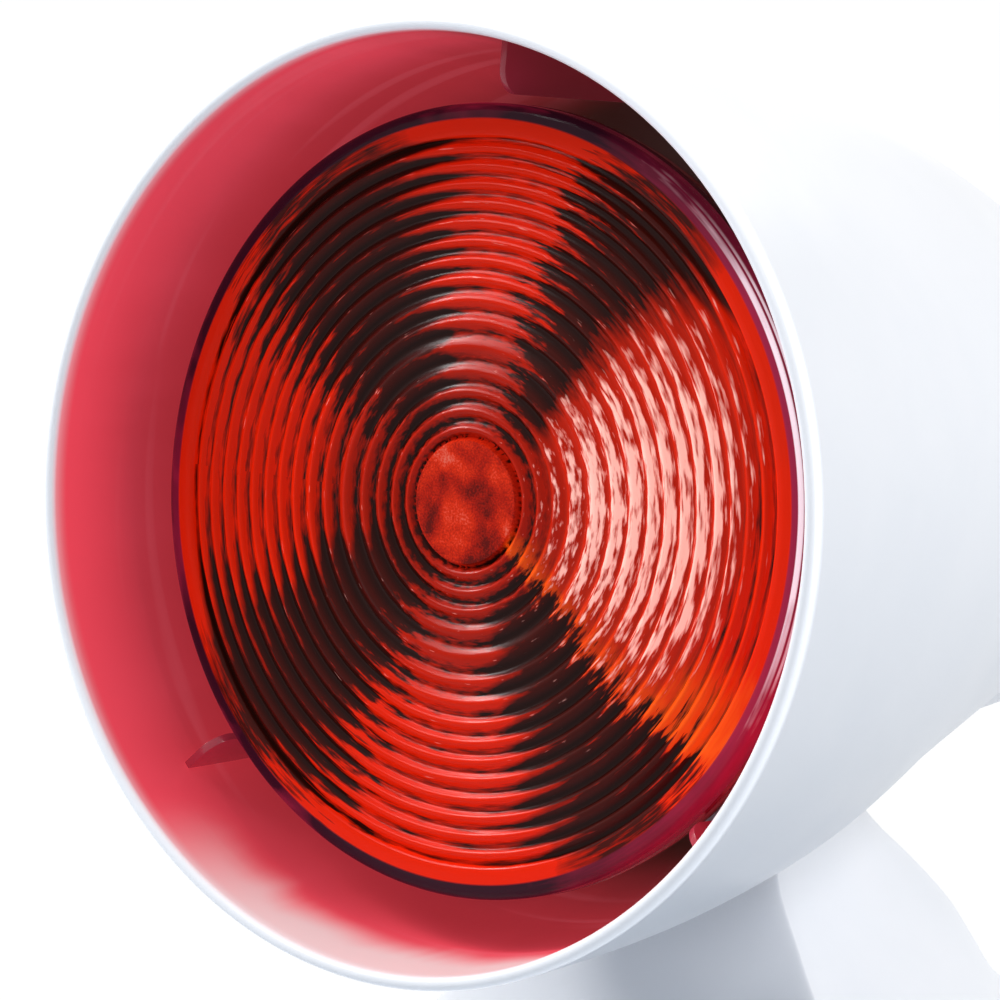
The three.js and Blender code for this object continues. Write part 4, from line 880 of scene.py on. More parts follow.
@dataclass(frozen=True)
class RubyLensGlass(Finish):
    """Ruby pressed glass over a faceted mirror, with painted light on its crests, painted shade in its
    grooves and in dark fans, and painted glare.
    """

    axes: HeadAxes | None = None
    # Painted light and shade: crest and inner colour the lit rings, inner darker near the middle, and dusk
    # and groove are the painted shade of the fans and grooves.
    crest: Colour = tint(234, 36, 4)
    inner: Colour = tint(160, 26, 10)
    dusk: Colour = tint(66, 12, 6)
    groove: Colour = tint(34, 7, 4)
    # Painted highlight: red, ember and glare colour the painted glare and flare.
    red: Colour = tint(206, 38, 16)
    ember: Colour = tint(255, 92, 18)
    glare: Colour = tint(255, 190, 176)
    # The edge is dark purple; edge_light is its magenta, also painted light on the right, and edge_glare its
    # painted white highlight.
    edge: Colour = tint(50, 14, 32)
    edge_light: Colour = tint(168, 36, 72)
    edge_glare: Colour = tint(250, 228, 238)
    disc_edge: tuple[float, float] = (0.0094, 0.0099)
    band_edge: tuple[float, float] = (0.0584, 0.0588)
    near_span: tuple[float, float] = (0.02, 0.036)
    hub_span: tuple[float, float] = (0.012, 0.023)
    outer_span: tuple[float, float] = (0.053, 0.059)
    glare_start: tuple[float, float] = (0.009, 0.026)
    glare_end: tuple[float, float] = (0.044, 0.056)
    glare_fade: tuple[float, float] = (0.04, 0.055)

    def build(self) -> bpy.types.Material:
        """Builds the material's nodes.

        Returns:
            The material.
        """
        board = NodeBoard.start(self.name)
        place = board.place(self.axes)
        x, _, z = board.split(place)
        square = board.sums("ADD", board.sums("MULTIPLY", x, x), board.sums("MULTIPLY", z, z))
        radius = board.sums("SQRT", square)
        round_share = board.sums("ADD", board.sums("DIVIDE", board.sums("ARCTAN2", z, x), math.tau), 0.5)
        along = board.sums("MULTIPLY", round_share, 0.026)
        grain = board.noise(board.gather(radius, along, 0.0), 0.5, 3.0)
        wander = board.noise(place, 12.0, 2.0, 0.6)
        loose = board.sums("MULTIPLY", board.sums("SUBTRACT", board.sums("ADD", wander, grain), 1.0), 0.05)
        turn = board.sums("ADD", round_share, loose)
        colour = self.rings(board, radius, turn, grain)
        glint, colour = self.glint(board, radius, turn, grain, colour)
        colour = self.centre(board, radius, place, colour)
        rim = board.rise(radius, *self.band_edge)
        # Painted highlight: white streaks on the lens's edge, which glow too.
        edge, painted_highlight = self.rim(board, turn, radius)
        colour = board.mix(rim, colour, edge)
        glint = board.sums("ADD", glint, board.sums("MULTIPLY", rim, painted_highlight))
        grit = board.sums("ADD", board.sums("MULTIPLY", grain, 0.2), 0.14)
        # Painted highlight: the glare glows as well, over the lens's own glow.
        board.surface(
            base_color=colour,
            roughness=board.sums("SUBTRACT", grit, board.sums("MULTIPLY", rim, 0.12)),
            specular_ior_level=0.1,
            emission_color=colour,
            emission_strength=board.sums("ADD", board.sums("MULTIPLY", glint, 0.45), 0.28),
        )
        board.bump(board.sums("ADD", grain, wander), 0.04)
        return board.material

    def fans(self, board: NodeBoard, turn: Socket) -> Socket:
        """Paints how much of the mirror's light comes through, round the lens, with dark fans of painted
        shade between.

        Args:
            board: The material under construction.
            turn: The angle round the lens, from 0 to 1.

        Returns:
            The light's share.
        """
        stops = (
            (0.0, 1.0),
            (0.045, 0.85),
            (0.08, 0.3),
            (0.115, 0.04),
            (0.14, 0.04),
            (0.17, 0.4),
            (0.2, 0.95),
            (0.25, 1.0),
            (0.29, 0.85),
            (0.32, 0.3),
            (0.345, 0.04),
            (0.375, 0.03),
            (0.388, 0.3),
            (0.4, 1.0),
            (0.5, 1.0),
            (0.59, 0.95),
            (0.62, 0.4),
            (0.645, 0.04),
            (0.665, 0.05),
            (0.69, 0.4),
            (0.715, 0.95),
            (0.75, 1.0),
            (0.78, 0.85),
            (0.805, 0.35),
            (0.84, 0.05),
            (0.875, 0.05),
            (0.905, 0.4),
            (0.94, 0.9),
            (1.0, 1.0),
        )
        return board.ramp(turn, stops)

    def rings(self, board: NodeBoard, radius: Socket, turn: Socket, grain: Socket) -> Socket:
        """Colours crests and grooves by the depth that the mesh carries: painted light on the crests,
        painted shade in the grooves, in the fans and in dark crescents near the middle.

        Args:
            board: The material under construction.
            radius: The distance from the middle.
            turn: The angle round it, from 0 to 1.
            grain: The fine streaks.

        Returns:
            The colour.
        """
        # Painted shade: dark crescents near the middle.
        near = board.sums("SUBTRACT", 1.0, board.rise(radius, *self.near_span))
        stops = ((0.0, 0.7), (0.08, 1.0), (0.2, 0.55), (0.32, 0.0), (0.85, 0.0), (1.0, 0.7))
        crescent = board.sums("MULTIPLY", near, board.ramp(turn, stops))
        # Painted shade: the dark fans fade near the middle and a little at the outer edge.
        hub = board.sums("SUBTRACT", 0.75, board.rise(radius, *self.hub_span, 0.75))
        hub = board.sums("ADD", hub, board.rise(radius, *self.outer_span, 0.12))
        fans = board.mix(hub, self.fans(board, turn), (0.85, 0.85, 0.85))
        # Painted shade: darker in the grooves, the fans and the crescents.
        light = board.sums("SUBTRACT", board.sums("MULTIPLY", fans, 1.4), board.attribute("groove"))
        light = board.sums("SUBTRACT", light, board.sums("MULTIPLY", crescent, 0.3))
        rough = board.sums("MULTIPLY", board.sums("SUBTRACT", grain, 0.5), 1.7)
        light = board.sums("ADD", light, rough)
        edges = board.ramp(board.attribute("groove"), ((0.25, 0.0), (0.9, 1.0)))
        dark = board.mix(edges, self.dusk, self.groove)
        lit = board.mix(board.sums("MULTIPLY", near, 0.75), self.crest, self.inner)
        # Painted light: an orange flare at one place round the lens.
        flame = board.ramp(turn, ((0.385, 0.0), (0.4, 1.0), (0.45, 0.0)))
        lit = board.mix(flame, lit, self.ember)
        return board.mix(board.ramp(light, ((0.12, 0.0), (0.72, 1.0))), dark, lit)

    def glint(
        self, board: NodeBoard, radius: Socket, turn: Socket, grain: Socket, colour: Socket
    ) -> tuple[Socket, Socket]:
        """Paints the pale strokes of a lamp's glare, as painted highlights along the crests on the right.

        Args:
            board: The material under construction.
            radius: The distance from the middle.
            turn: The place round the lens, as a share.
            grain: The fine streaks.
            colour: The colour under the strokes.

        Returns:
            The share of glare and the colour with the strokes in it.
        """
        stops = ((0.385, 0.0), (0.42, 0.72), (0.475, 1.0), (0.545, 1.0), (0.6, 0.7), (0.645, 0.0))
        sector = board.ramp(turn, stops)
        inside = board.rise(radius, *self.glare_start)
        reach = board.sums("SUBTRACT", inside, board.rise(radius, *self.glare_end, 0.8))
        low = board.ramp(turn, ((0.44, 1.0), (0.53, 0.0)))
        outer = board.rise(radius, *self.glare_fade, 0.7)
        strength = board.sums("MULTIPLY", sector, reach)
        strength = board.sums("SUBTRACT", strength, board.sums("MULTIPLY", low, outer))
        lines = board.mix(board.ramp(strength, ((0.1, 0.0), (0.5, 0.85))), colour, self.red)
        value = board.sums("ADD", board.sums("MULTIPLY", strength, 1.12), board.attribute("outward"))
        rough = board.sums("MULTIPLY", board.sums("SUBTRACT", grain, 0.5), 3.0)
        value = board.sums("SUBTRACT", board.sums("ADD", value, rough), 1.0)
        share = board.ramp(value, ((0.42, 0.0), (0.95, 0.95)))
        return share, board.mix(share, lines, self.glare)

    def centre(self, board: NodeBoard, radius: Socket, place: Socket, colour: Socket) -> Socket:
        """Stipples the smooth disc in the middle.

        Args:
            board: The material under construction.
            radius: The distance from the middle.
            place: The coordinates.
            colour: The colour outside the disc.

        Returns:
            The colour with the disc.
        """
        mottle = board.noise(place, 7.5, 2.0, 0.3)
        dots = board.sums("MULTIPLY", board.sums("SUBTRACT", board.noise(place, 0.35, 2.0), 0.5), 0.35)
        blend = board.sums("ADD", mottle, dots)
        stops = (
            (0.34, tint(96, 12, 6)),
            (0.48, tint(180, 28, 10)),
            (0.62, tint(226, 50, 18)),
            (0.76, tint(236, 116, 96)),
        )
        stipple = board.ramp(blend, stops)
        return board.mix(board.rise(radius, *self.disc_edge), stipple, colour)

    def rim(self, board: NodeBoard, turn: Socket, radius: Socket) -> tuple[Socket, Socket]:
        """Colours the thick edge of the lens dark purple with magenta patches, with magenta painted light
        and white painted highlight streaks on the right.

        Args:
            board: The material under construction.
            turn: The place round the lens, as a share.
            radius: The distance from the middle.

        Returns:
            The colour and the share of the painted white highlight streaks.
        """
        blots = board.noise(board.place(self.axes, (0.1, 1.0, 0.1)), 2.4, 3.0, 0.2)
        # Painted light: magenta on the right side of the edge, besides random magenta patches.
        side = board.ramp(turn, ((0.3, 0.0), (0.42, 1.0), (0.6, 1.0), (0.7, 0.0)))
        magenta = board.sums("MAXIMUM", board.ramp(blots, ((0.5, 0.0), (0.66, 0.8))), side)
        colour = board.mix(magenta, self.edge, self.edge_light)
        # Painted highlight: two thin white streaks on the right.
        wide = board.sums("SUBTRACT", board.rise(radius, 0.0596, 0.0598), board.rise(radius, 0.0604, 0.0606))
        thin = board.sums("SUBTRACT", board.rise(radius, 0.0607, 0.0608), board.rise(radius, 0.0609, 0.061))
        lines = board.sums("MAXIMUM", wide, thin)
        bright = board.ramp(turn, ((0.42, 0.0), (0.48, 0.95), (0.58, 0.95), (0.66, 0.0)))
        painted_highlight = board.sums("MULTIPLY", bright, lines)
        return board.mix(painted_highlight, colour, self.edge_glare), painted_highlight


@dataclass(frozen=True)
class BowlGlass(Finish):
    """The bulb's bowl: dark ruby glass with its mirror behind, and faint pour lines, whose magenta colour is
    painted reflection.
    """

    axes: HeadAxes | None = None
    dark: Colour = tint(60, 20, 34)
    light: Colour = tint(150, 30, 58)

    def build(self) -> bpy.types.Material:
        """Builds the material's nodes.

        Returns:
            The material.
        """
        board = NodeBoard.start(self.name)
        # Painted reflection: magenta along the pour lines, which also raise the surface a little.
        lines = board.noise(board.place(self.axes, (0.3, 3.0, 0.3)), 12.0, 5.0, 0.6)
        pits = board.noise(board.place(), 0.9, 3.0)
        board.surface(
            base_color=board.mix(board.ramp(lines, ((0.38, 0.0), (0.66, 1.0))), self.dark, self.light),
            roughness=board.sums("ADD", board.sums("MULTIPLY", pits, 0.12), 0.07),
            specular_ior_level=0.75,
            coat_weight=0.6,
            coat_roughness=0.06,
        )
        board.bump(board.sums("ADD", lines, board.sums("MULTIPLY", pits, 0.2)), 0.12)
        return board.material


@dataclass(frozen=True)
class WorkedMetal(Finish):
    """Plated, drawn or cast metal: brush lines, tarnish in blots and fine pits."""

    colour: Colour = (0.6, 0.6, 0.62)
    tarnish: Colour = (0.35, 0.35, 0.36)
    roughness: float = 0.3
    brushed: Colour = (1.0, 1.0, 0.1)
    pits: float = 0.4
    pit_depth: float = 0.015
    metal: float = 1.0

    def build(self) -> bpy.types.Material:
        """Builds the material's nodes.

        Returns:
            The material.
        """
        board = NodeBoard.start(self.name)
        place = board.place()
        blots = board.ramp(board.noise(place, 7.0, 6.0, 0.8), ((0.42, 0.0), (0.72, 0.8)))
        lines = board.noise(board.place(scale=self.brushed), 0.35, 4.0)
        rough = board.sums("ADD", board.sums("MULTIPLY", lines, 0.2), board.sums("MULTIPLY", blots, 0.22))
        board.surface(
            base_color=board.mix(blots, self.colour, self.tarnish),
            roughness=board.sums("ADD", rough, self.roughness - 0.1),
            metallic=self.metal,
        )
        pits = board.cells(place, self.pits)
        board.bump(board.sums("ADD", lines, board.sums("MULTIPLY", pits, 0.6)), self.pit_depth)
        return board.material


@dataclass(frozen=True)
class GlazedCeramic(Finish):
    """Glazed porcelain: warm white with iron specks and an even glaze."""

    colour: Colour = tint(236, 232, 221)
    speck: Colour = tint(150, 128, 100)

    def build(self) -> bpy.types.Material:
        """Builds the material's nodes.

        Returns:
            The material.
        """
        board = NodeBoard.start(self.name)
        place = board.place()
        specks = board.ramp(board.cells(place, 1.7), ((0.06, 1.0), (0.12, 0.0)))
        cloud = board.noise(place, 9.0, 4.0)
        board.surface(
            base_color=board.mix(specks, self.colour, self.speck),
            roughness=board.sums("ADD", board.sums("MULTIPLY", cloud, 0.2), 0.16),
            coat_weight=0.5,
            coat_roughness=0.12,
        )
        board.bump(board.noise(place, 2.4, 4.0), 0.03)
        return board.material


class Finishes:
    """All the finishes of the lamp, by the piece that wears them."""

    def __init__(self, axes: HeadAxes) -> None:
        """Makes the finishes, with patterns of the head set on its axes.

        Args:
            axes: The head's axes.
        """
        white = {"colour": tint(243, 244, 248), "flow": tint(238, 240, 245)}
        self.shade = ShadePlastic("white_shade_plastic", **white, roughness=0.3, axes=axes)
        # The fins take the same painted red light, painted shade and painted reflection, in darker colours.
        self.fin = ShadePlastic(
            "red_lit_fin_plastic",
            **white,
            roughness=0.22,
            axes=axes,
            rose=tint(176, 48, 70),
            deep=tint(142, 44, 56),
            shadow_brown=tint(104, 36, 42),
            painted_highlight=tint(150, 48, 60),
            glow=0.34,
        )
        self.white = MouldedPlastic("white_shell_plastic", **white, roughness=0.32)
        self.rocker = MouldedPlastic(
            "white_rocker_plastic", tint(236, 238, 240), tint(228, 230, 233), 0.26, 0.7
        )
        self.base = MouldedPlastic(
            "grey_base_plastic", tint(208, 213, 220), tint(196, 201, 209), 0.46, 0.8, 0.03
        )
        self.black = MouldedPlastic(
            "black_fitting_plastic", tint(32, 33, 36), tint(24, 25, 27), 0.44, 0.6, 0.02
        )
        self.rubber = MouldedPlastic(
            "pad_rubber", tint(46, 47, 50), tint(36, 36, 39), 0.78, 0.9, 0.05, 0.3
        )
        self.washer = MouldedPlastic(
            "washer_fibre", tint(38, 36, 34), tint(60, 54, 48), 0.7, 0.4, 0.03, 0.3
        )
        self.sheath = MouldedPlastic(
            "cable_sheath", tint(142, 147, 154), tint(126, 131, 139), 0.56, 1.2, 0.03, 0.4
        )
        self.mark = MouldedPlastic("marking_ink", tint(40, 42, 46), tint(58, 60, 64), 0.6, 0.3)
        self.lens = RubyLensGlass("ruby_lens_glass", axes)
        self.bowl = BowlGlass("ruby_bowl_glass", axes)
        self.steel = WorkedMetal("zinc_plated_steel", tint(190, 194, 200), tint(128, 130, 134))
        self.brass = WorkedMetal("cap_brass", tint(214, 178, 96), tint(136, 100, 46), 0.26)
        self.iron = WorkedMetal(
            "cast_iron_ballast", tint(84, 86, 90), tint(60, 50, 46), 0.62, (1.0, 1.0, 1.0), 2.2, 0.2, 0.7
        )
        self.tungsten = WorkedMetal("filament_metal", tint(150, 152, 156), tint(92, 90, 96), 0.36)
        self.ceramic = GlazedCeramic("holder_porcelain")


# Head


@dataclass
class BellShade:
    """The bell-shaped shade with its three fins and the slot that the stand passes through."""

    finishes: Finishes
    axes: HeadAxes
    rim_radius: float = 73.3
    length: float = 123.0
    wall: float = 2.2
    sides: int = 192
    steps: int = 54
    slot_front: float = 77.0
    slot_back: float = 128.0
    slot_half_width: float = 16.4
    slot_top: float = -38.0
    slot_corner: float = 5.0
    fin_turns: tuple[float, ...] = (1.0, 134.0, -133.0)
    fin_thickness: float = 1.2
    fin_front: float = 14.5
    fin_length: float = 38.0
    fin_inner: float = 62.4
    fin_corner: float = 4.0
    fin_outer: float = 80.0
    boss_places: tuple[Row, ...] = ((-23.6, -27.6), (23.6, -27.6))
    boss_radius: float = 4.0
    boss_length: float = 9.0
    boss_lean: float = 34.2
    pilot_radius: float = 1.65
    shares: tuple[Row, ...] = (
        (0.0, 1.0, 0.0),
        (0.122, 0.987, 0.003),
        (0.285, 0.96, 0.012),
        (0.488, 0.906, 0.035),
        (0.691, 0.823, 0.076),
        (0.854, 0.752, 0.094),
        (1.0, 0.679, 0.097),
    )
    rows: list[Row] = field(init=False)

    def __post_init__(self) -> None:
        """Smooths the bell's line once, for all that follows it."""
        radius = self.rim_radius
        table = [(d * self.length, r * radius, z * radius) for d, r, z in self.shares]
        self.rows = smooth_rows(table, self.steps)

    def build(self) -> None:
        """Builds the bell and its fins."""
        bell = pull_rings("shade_bell", self.shell_rings(), self.sides)
        combine(bell, "UNION", self.bosses())
        combine(bell, "DIFFERENCE", [self.slot_tool()])
        settle(bell, self.axes.matrix())
        # The inside of the bell gets the bulb's red light painted on.
        write_attribute(bell, "painted_red_light", self.painted_red_light)
        smooth(bell)
        mount(bell, Body.HEAD, self.finishes.shade, ["shade_shell"])
        for turn, name in zip(self.fin_turns, ("top", "right", "left")):
            self.build_fin(turn, f"shade_fin_{name}")

    def shell_rings(self) -> list[Row]:
        """Lists the rings from the rear inside, round the lip, to the rear outside.

        Returns:
            Rows of depth, radius and rise.
        """
        outer = [row for row in self.rows if row[0] > self.wall]
        inner = [row for row in inward_rows(self.rows, self.wall) if self.wall < row[0] < self.length]
        rear = self.rows[-1]
        end = (self.length, rear[1] - self.wall, rear[2])
        half = self.wall / 2
        middle = self.rows[0][1] - half
        lip = []
        for step in range(9):
            turn = math.pi * step / 8
            lip.append((half - half * math.sin(turn), middle - half * math.cos(turn), 0.0))
        return [end, *reversed(inner), *lip, *outer, end]

    def solid(self, inset: float) -> Piece:
        """Makes the bell's full shape, a little smaller than its outside."""
        rings = [(row[0], row[1] - inset, row[2]) for row in self.rows]
        return pull_rings("shade_limit", rings, self.sides)

    def slot_tool(self) -> Piece:
        """Makes the rounded block that cuts the slot under the head.

        Returns:
            The block, on the head's axes.
        """
        low = (-self.slot_half_width, self.slot_front, -self.rim_radius)
        tool = block("slot_tool", low, (self.slot_half_width, self.slot_back, self.slot_top))
        with editing(tool):
            select_where(tool, Element.EDGE, self.is_slot_corner)
            bpy.ops.mesh.bevel(offset=self.slot_corner * MM, segments=6, affect="EDGES")
        return tool

    def is_slot_corner(self, edge: bmesh.types.BMEdge) -> bool:
        """Says whether an edge is an upright corner at the slot's front."""
        a, b = (point.co for point in edge.verts)
        return abs(a.z - b.z) > MM and a.y < self.slot_back * MM - MM

    def bosses(self) -> list[Piece]:
        """Makes the two bosses that the yoke's screws go into, each on its web.

        Returns:
            The two bosses.
        """
        rear = self.length - 2.3
        front = rear - self.boss_length
        made = []
        for x, z in self.boss_places:
            boss = rod("boss", self.boss_radius, Vector((x, front, z)), Vector((x, rear, z)), 32)
            web = block("web", (-1.2, front, -16.0), (1.2, rear, -2.0))
            lean = Matrix.Rotation(-math.copysign(math.radians(self.boss_lean), x), 4, "Y")
            settle(web, Matrix.Translation(Vector((x, 0.0, z)) * MM) @ lean)
            combine(web, "INTERSECT", [self.solid(1.0)])
            combine(boss, "UNION", [web])
            tip = Vector((x, rear - 6.0, z))
            pilot = rod("pilot", self.pilot_radius, tip, Vector((x, rear + 2.0, z)), 16)
            combine(boss, "DIFFERENCE", [pilot])
            made.append(boss)
        return made

    def painted_red_light(self, place: Vector) -> float:
        """Says how much of the bulb's painted red light a point of the bell takes on.

        Args:
            place: The point, in metres, on the lamp's axes.

        Returns:
            The share, from 0 to 1.
        """
        own = self.axes.matrix().inverted() @ place / MM
        wall = value_at(self.rows, own.y, 1) - self.wall * 0.55
        height = own.z - value_at(self.rows, own.y, 2)
        if math.hypot(own.x, height) > wall or own.y > self.length - 0.5:
            return 0.0
        return min(max((own.y - 0.35) / 1.1, 0.0), 1.0)

    def build_fin(self, turn: float, name: str) -> None:
        """Builds one fin that keeps the bulb in the middle.

        Args:
            turn: Its angle from the top, in degrees, clockwise from behind.
            name: Its name.
        """
        half = self.fin_thickness / 2
        back = self.fin_front + self.fin_length
        fin = block(name, (-half, self.fin_front, self.fin_inner), (half, back, self.fin_outer))
        with editing(fin):
            select_where(fin, Element.EDGE, lambda edge: self.is_fin_corner(edge, half))
            bpy.ops.mesh.bevel(offset=self.fin_corner * MM, segments=8, affect="EDGES")
        settle(fin, Matrix.Rotation(math.radians(turn), 4, "Y"))
        combine(fin, "INTERSECT", [self.solid(self.wall - 0.6)])
        round_edges(fin, 0.25, 2, 60.0)
        settle(fin, self.axes.matrix())
        # The fin takes the bulb's painted red light all over.
        write_attribute(fin, "painted_red_light", lambda place: 1.0)
        smooth(fin)
        mount(fin, Body.HEAD, self.finishes.fin, ["shade_shell"])

    def is_fin_corner(self, edge: bmesh.types.BMEdge, half: float) -> bool:
        """Says whether an edge is one of the fin's two corners next to the bulb.

        Args:
            edge: The edge.
            half: Half the fin's thickness.

        Returns:
            Whether it is.
        """
        a, b = (point.co for point in edge.verts)
        low = max(a.z, b.z) < (self.fin_inner + 0.1) * MM
        return low and abs(a.x - b.x) > half * MM and abs(a.y - b.y) < 0.1 * MM


@dataclass
class RearCup:
    """The tapering cup that closes the back of the head, with its vents and screw wells."""

    finishes: Finishes
    axes: HeadAxes
    shade: BellShade
    back: float = 184.0
    step: float = 0.5
    wall: float = 2.2
    gap: float = 0.3
    sides: int = 144
    steps: int = 40
    vent_count: int = 14
    vent_width: float = 3.0
    vent_length: float = 20.0
    vent_start: float = 22.0
    vent_corner: float = 1.45
    vent_free_share: float = 0.07
    notch_half_width: float = 4.4
    screw_places: tuple[Row, ...] = ((-19.4, 14.0), (19.4, 14.0))
    screw_seat: float = 175.0
    post_front: float = 163.5
    post_radius: float = 4.0
    well_radius: float = 3.3
    hole_radius: float = 1.8
    spigot_length: float = 5.0
    spigot_wall: float = 1.6
    shares: tuple[Row, ...] = (
        (0.0, 1.0, 1.0),
        (0.25, 0.934, 0.8),
        (0.5, 0.863, 0.585),
        (0.75, 0.767, 0.35),
        (0.9, 0.637, 0.25),
        (0.97, 0.478, 0.225),
        (1.0, 0.29, 0.225),
    )
    rows: list[Row] = field(init=False)

    def __post_init__(self) -> None:
        """Smooths the cup's line once, for all that follows it."""
        front = self.shade.length
        reach = self.back - front
        _, radius, rise = self.shade.rows[-1]
        table = [(front + d * reach, r * (radius - self.step), z * rise) for d, r, z in self.shares]
        self.rows = smooth_rows(table, self.steps)

    def build(self) -> None:
        """Builds the cup with its posts, wells, slot, notches and vents."""
        cup = pull_rings("rear_cup", self.shell_rings(), self.sides)
        limit = [(row[0] - 1.0, row[1] - 1.0, row[2]) for row in self.rows]
        posts = []
        for x, z in self.screw_places:
            start = Vector((x, self.post_front, z))
            post = rod("post", self.post_radius, start, Vector((x, self.back, z)), 32)
            combine(post, "INTERSECT", [pull_rings("cup_limit", limit, self.sides)])
            posts.append(post)
        combine(cup, "UNION", posts)
        combine(cup, "DIFFERENCE", [self.shade.slot_tool(), *self.wells(), *self.notches()])
        combine(cup, "DIFFERENCE", [self.vents()])
        settle(cup, self.axes.matrix())
        smooth(cup)
        mount(cup, Body.HEAD, self.finishes.white, ["rear_cover"])

    def shell_rings(self) -> list[Row]:
        """Lists the rings from the middle of the floor inside to the middle outside.

        Returns:
            Rows of depth, radius and rise.
        """
        front = self.shade.length + self.gap
        floor = self.back - self.wall
        lip = self.shade.rows[-1]
        spigot = lip[1] - self.shade.wall - 0.4
        inner = inward_rows(self.rows, self.wall)
        inside = [row for row in inner if front + 4.4 < row[0] < floor]
        outer = [(max(row[0], front), row[1], row[2]) for row in self.rows]
        rise = lip[2]
        start = self.shade.length - self.spigot_length
        mouth = [
            (front + self.wall, spigot - self.spigot_wall, rise),
            (start + 0.4, spigot - self.spigot_wall, rise),
            (start, spigot - 1.2, rise),
            (start, spigot - 0.4, rise),
            (start + 0.4, spigot, rise),
            (front, spigot, rise),
        ]
        edge = [(front, outer[0][1] - 0.5, rise), (front + 0.5, outer[0][1], rise)]
        end = inside[-1]
        close = [(floor, end[1] - 1.0, end[2]), (floor, 0.5, end[2])]
        tail = [(self.back, 0.5, outer[-1][2])]
        return [*reversed(close), *reversed(inside), *mouth, *edge, *outer[1:], *tail]

    def wells(self) -> list[Piece]:
        """Makes the tools for the screw wells and the holes through their floors.

        Returns:
            The tools.
        """
        tools = []
        for x, z in self.screw_places:
            seat = Vector((x, self.screw_seat, z))
            tools.append(rod("well", self.well_radius, seat, Vector((x, self.back + 2.0, z)), 32))
            start = Vector((x, self.post_front - 1.0, z))
            tools.append(rod("hole", self.hole_radius, start, seat + Vector((0.0, 1.0, 0.0)), 20))
        return tools

    def notches(self) -> list[Piece]:
        """Makes the tools that leave room for the shade's bosses and the yoke's tabs.

        Returns:
            The tools.
        """
        tools = []
        for x, z in self.shade.boss_places:
            front = self.shade.length - self.shade.boss_length
            half = self.notch_half_width
            tool = block("notch", (-half, front, -16.0), (half, self.shade.length + self.gap, half))
            turn = math.copysign(math.radians(self.shade.boss_lean), x)
            lean = Matrix.Rotation(-turn, 4, "Y")
            settle(tool, Matrix.Translation(Vector((x, 0.0, z)) * MM) @ lean)
            tools.append(tool)
        return tools

    def vents(self) -> Piece:
        """Makes one tool of all the vents, each a slot with round ends.

        Returns:
            The joined tool.
        """
        start = self.shade.length + self.vent_start
        rise = value_at(self.rows, start, 2)
        reach = self.shade.rows[-1][1]
        half = (self.vent_width / 2, self.vent_length / 2)
        tools = []
        for index in range(self.vent_count):
            share = (index + 0.5) / self.vent_count
            if abs(share - 0.5) < self.vent_free_share:
                continue
            low = (-half[0], -half[1], reach / 2)
            tool = block("vent", low, (half[0], half[1], reach + 2.0))
            with editing(tool):
                select_where(tool, Element.EDGE, is_upright)
                bpy.ops.mesh.bevel(offset=self.vent_corner * MM, segments=5, affect="EDGES")
            lift = Matrix.Translation(Vector((0.0, start + half[1], rise)) * MM)
            settle(tool, lift @ Matrix.Rotation(share * math.tau, 4, "Y"))
            tools.append(tool)
        return join(tools)


def is_upright(edge: bmesh.types.BMEdge) -> bool:
    """Says whether an edge runs along the Z axis."""
    a, b = (point.co for point in edge.verts)
    return abs(a.z - b.z) > (a.xy - b.xy).length


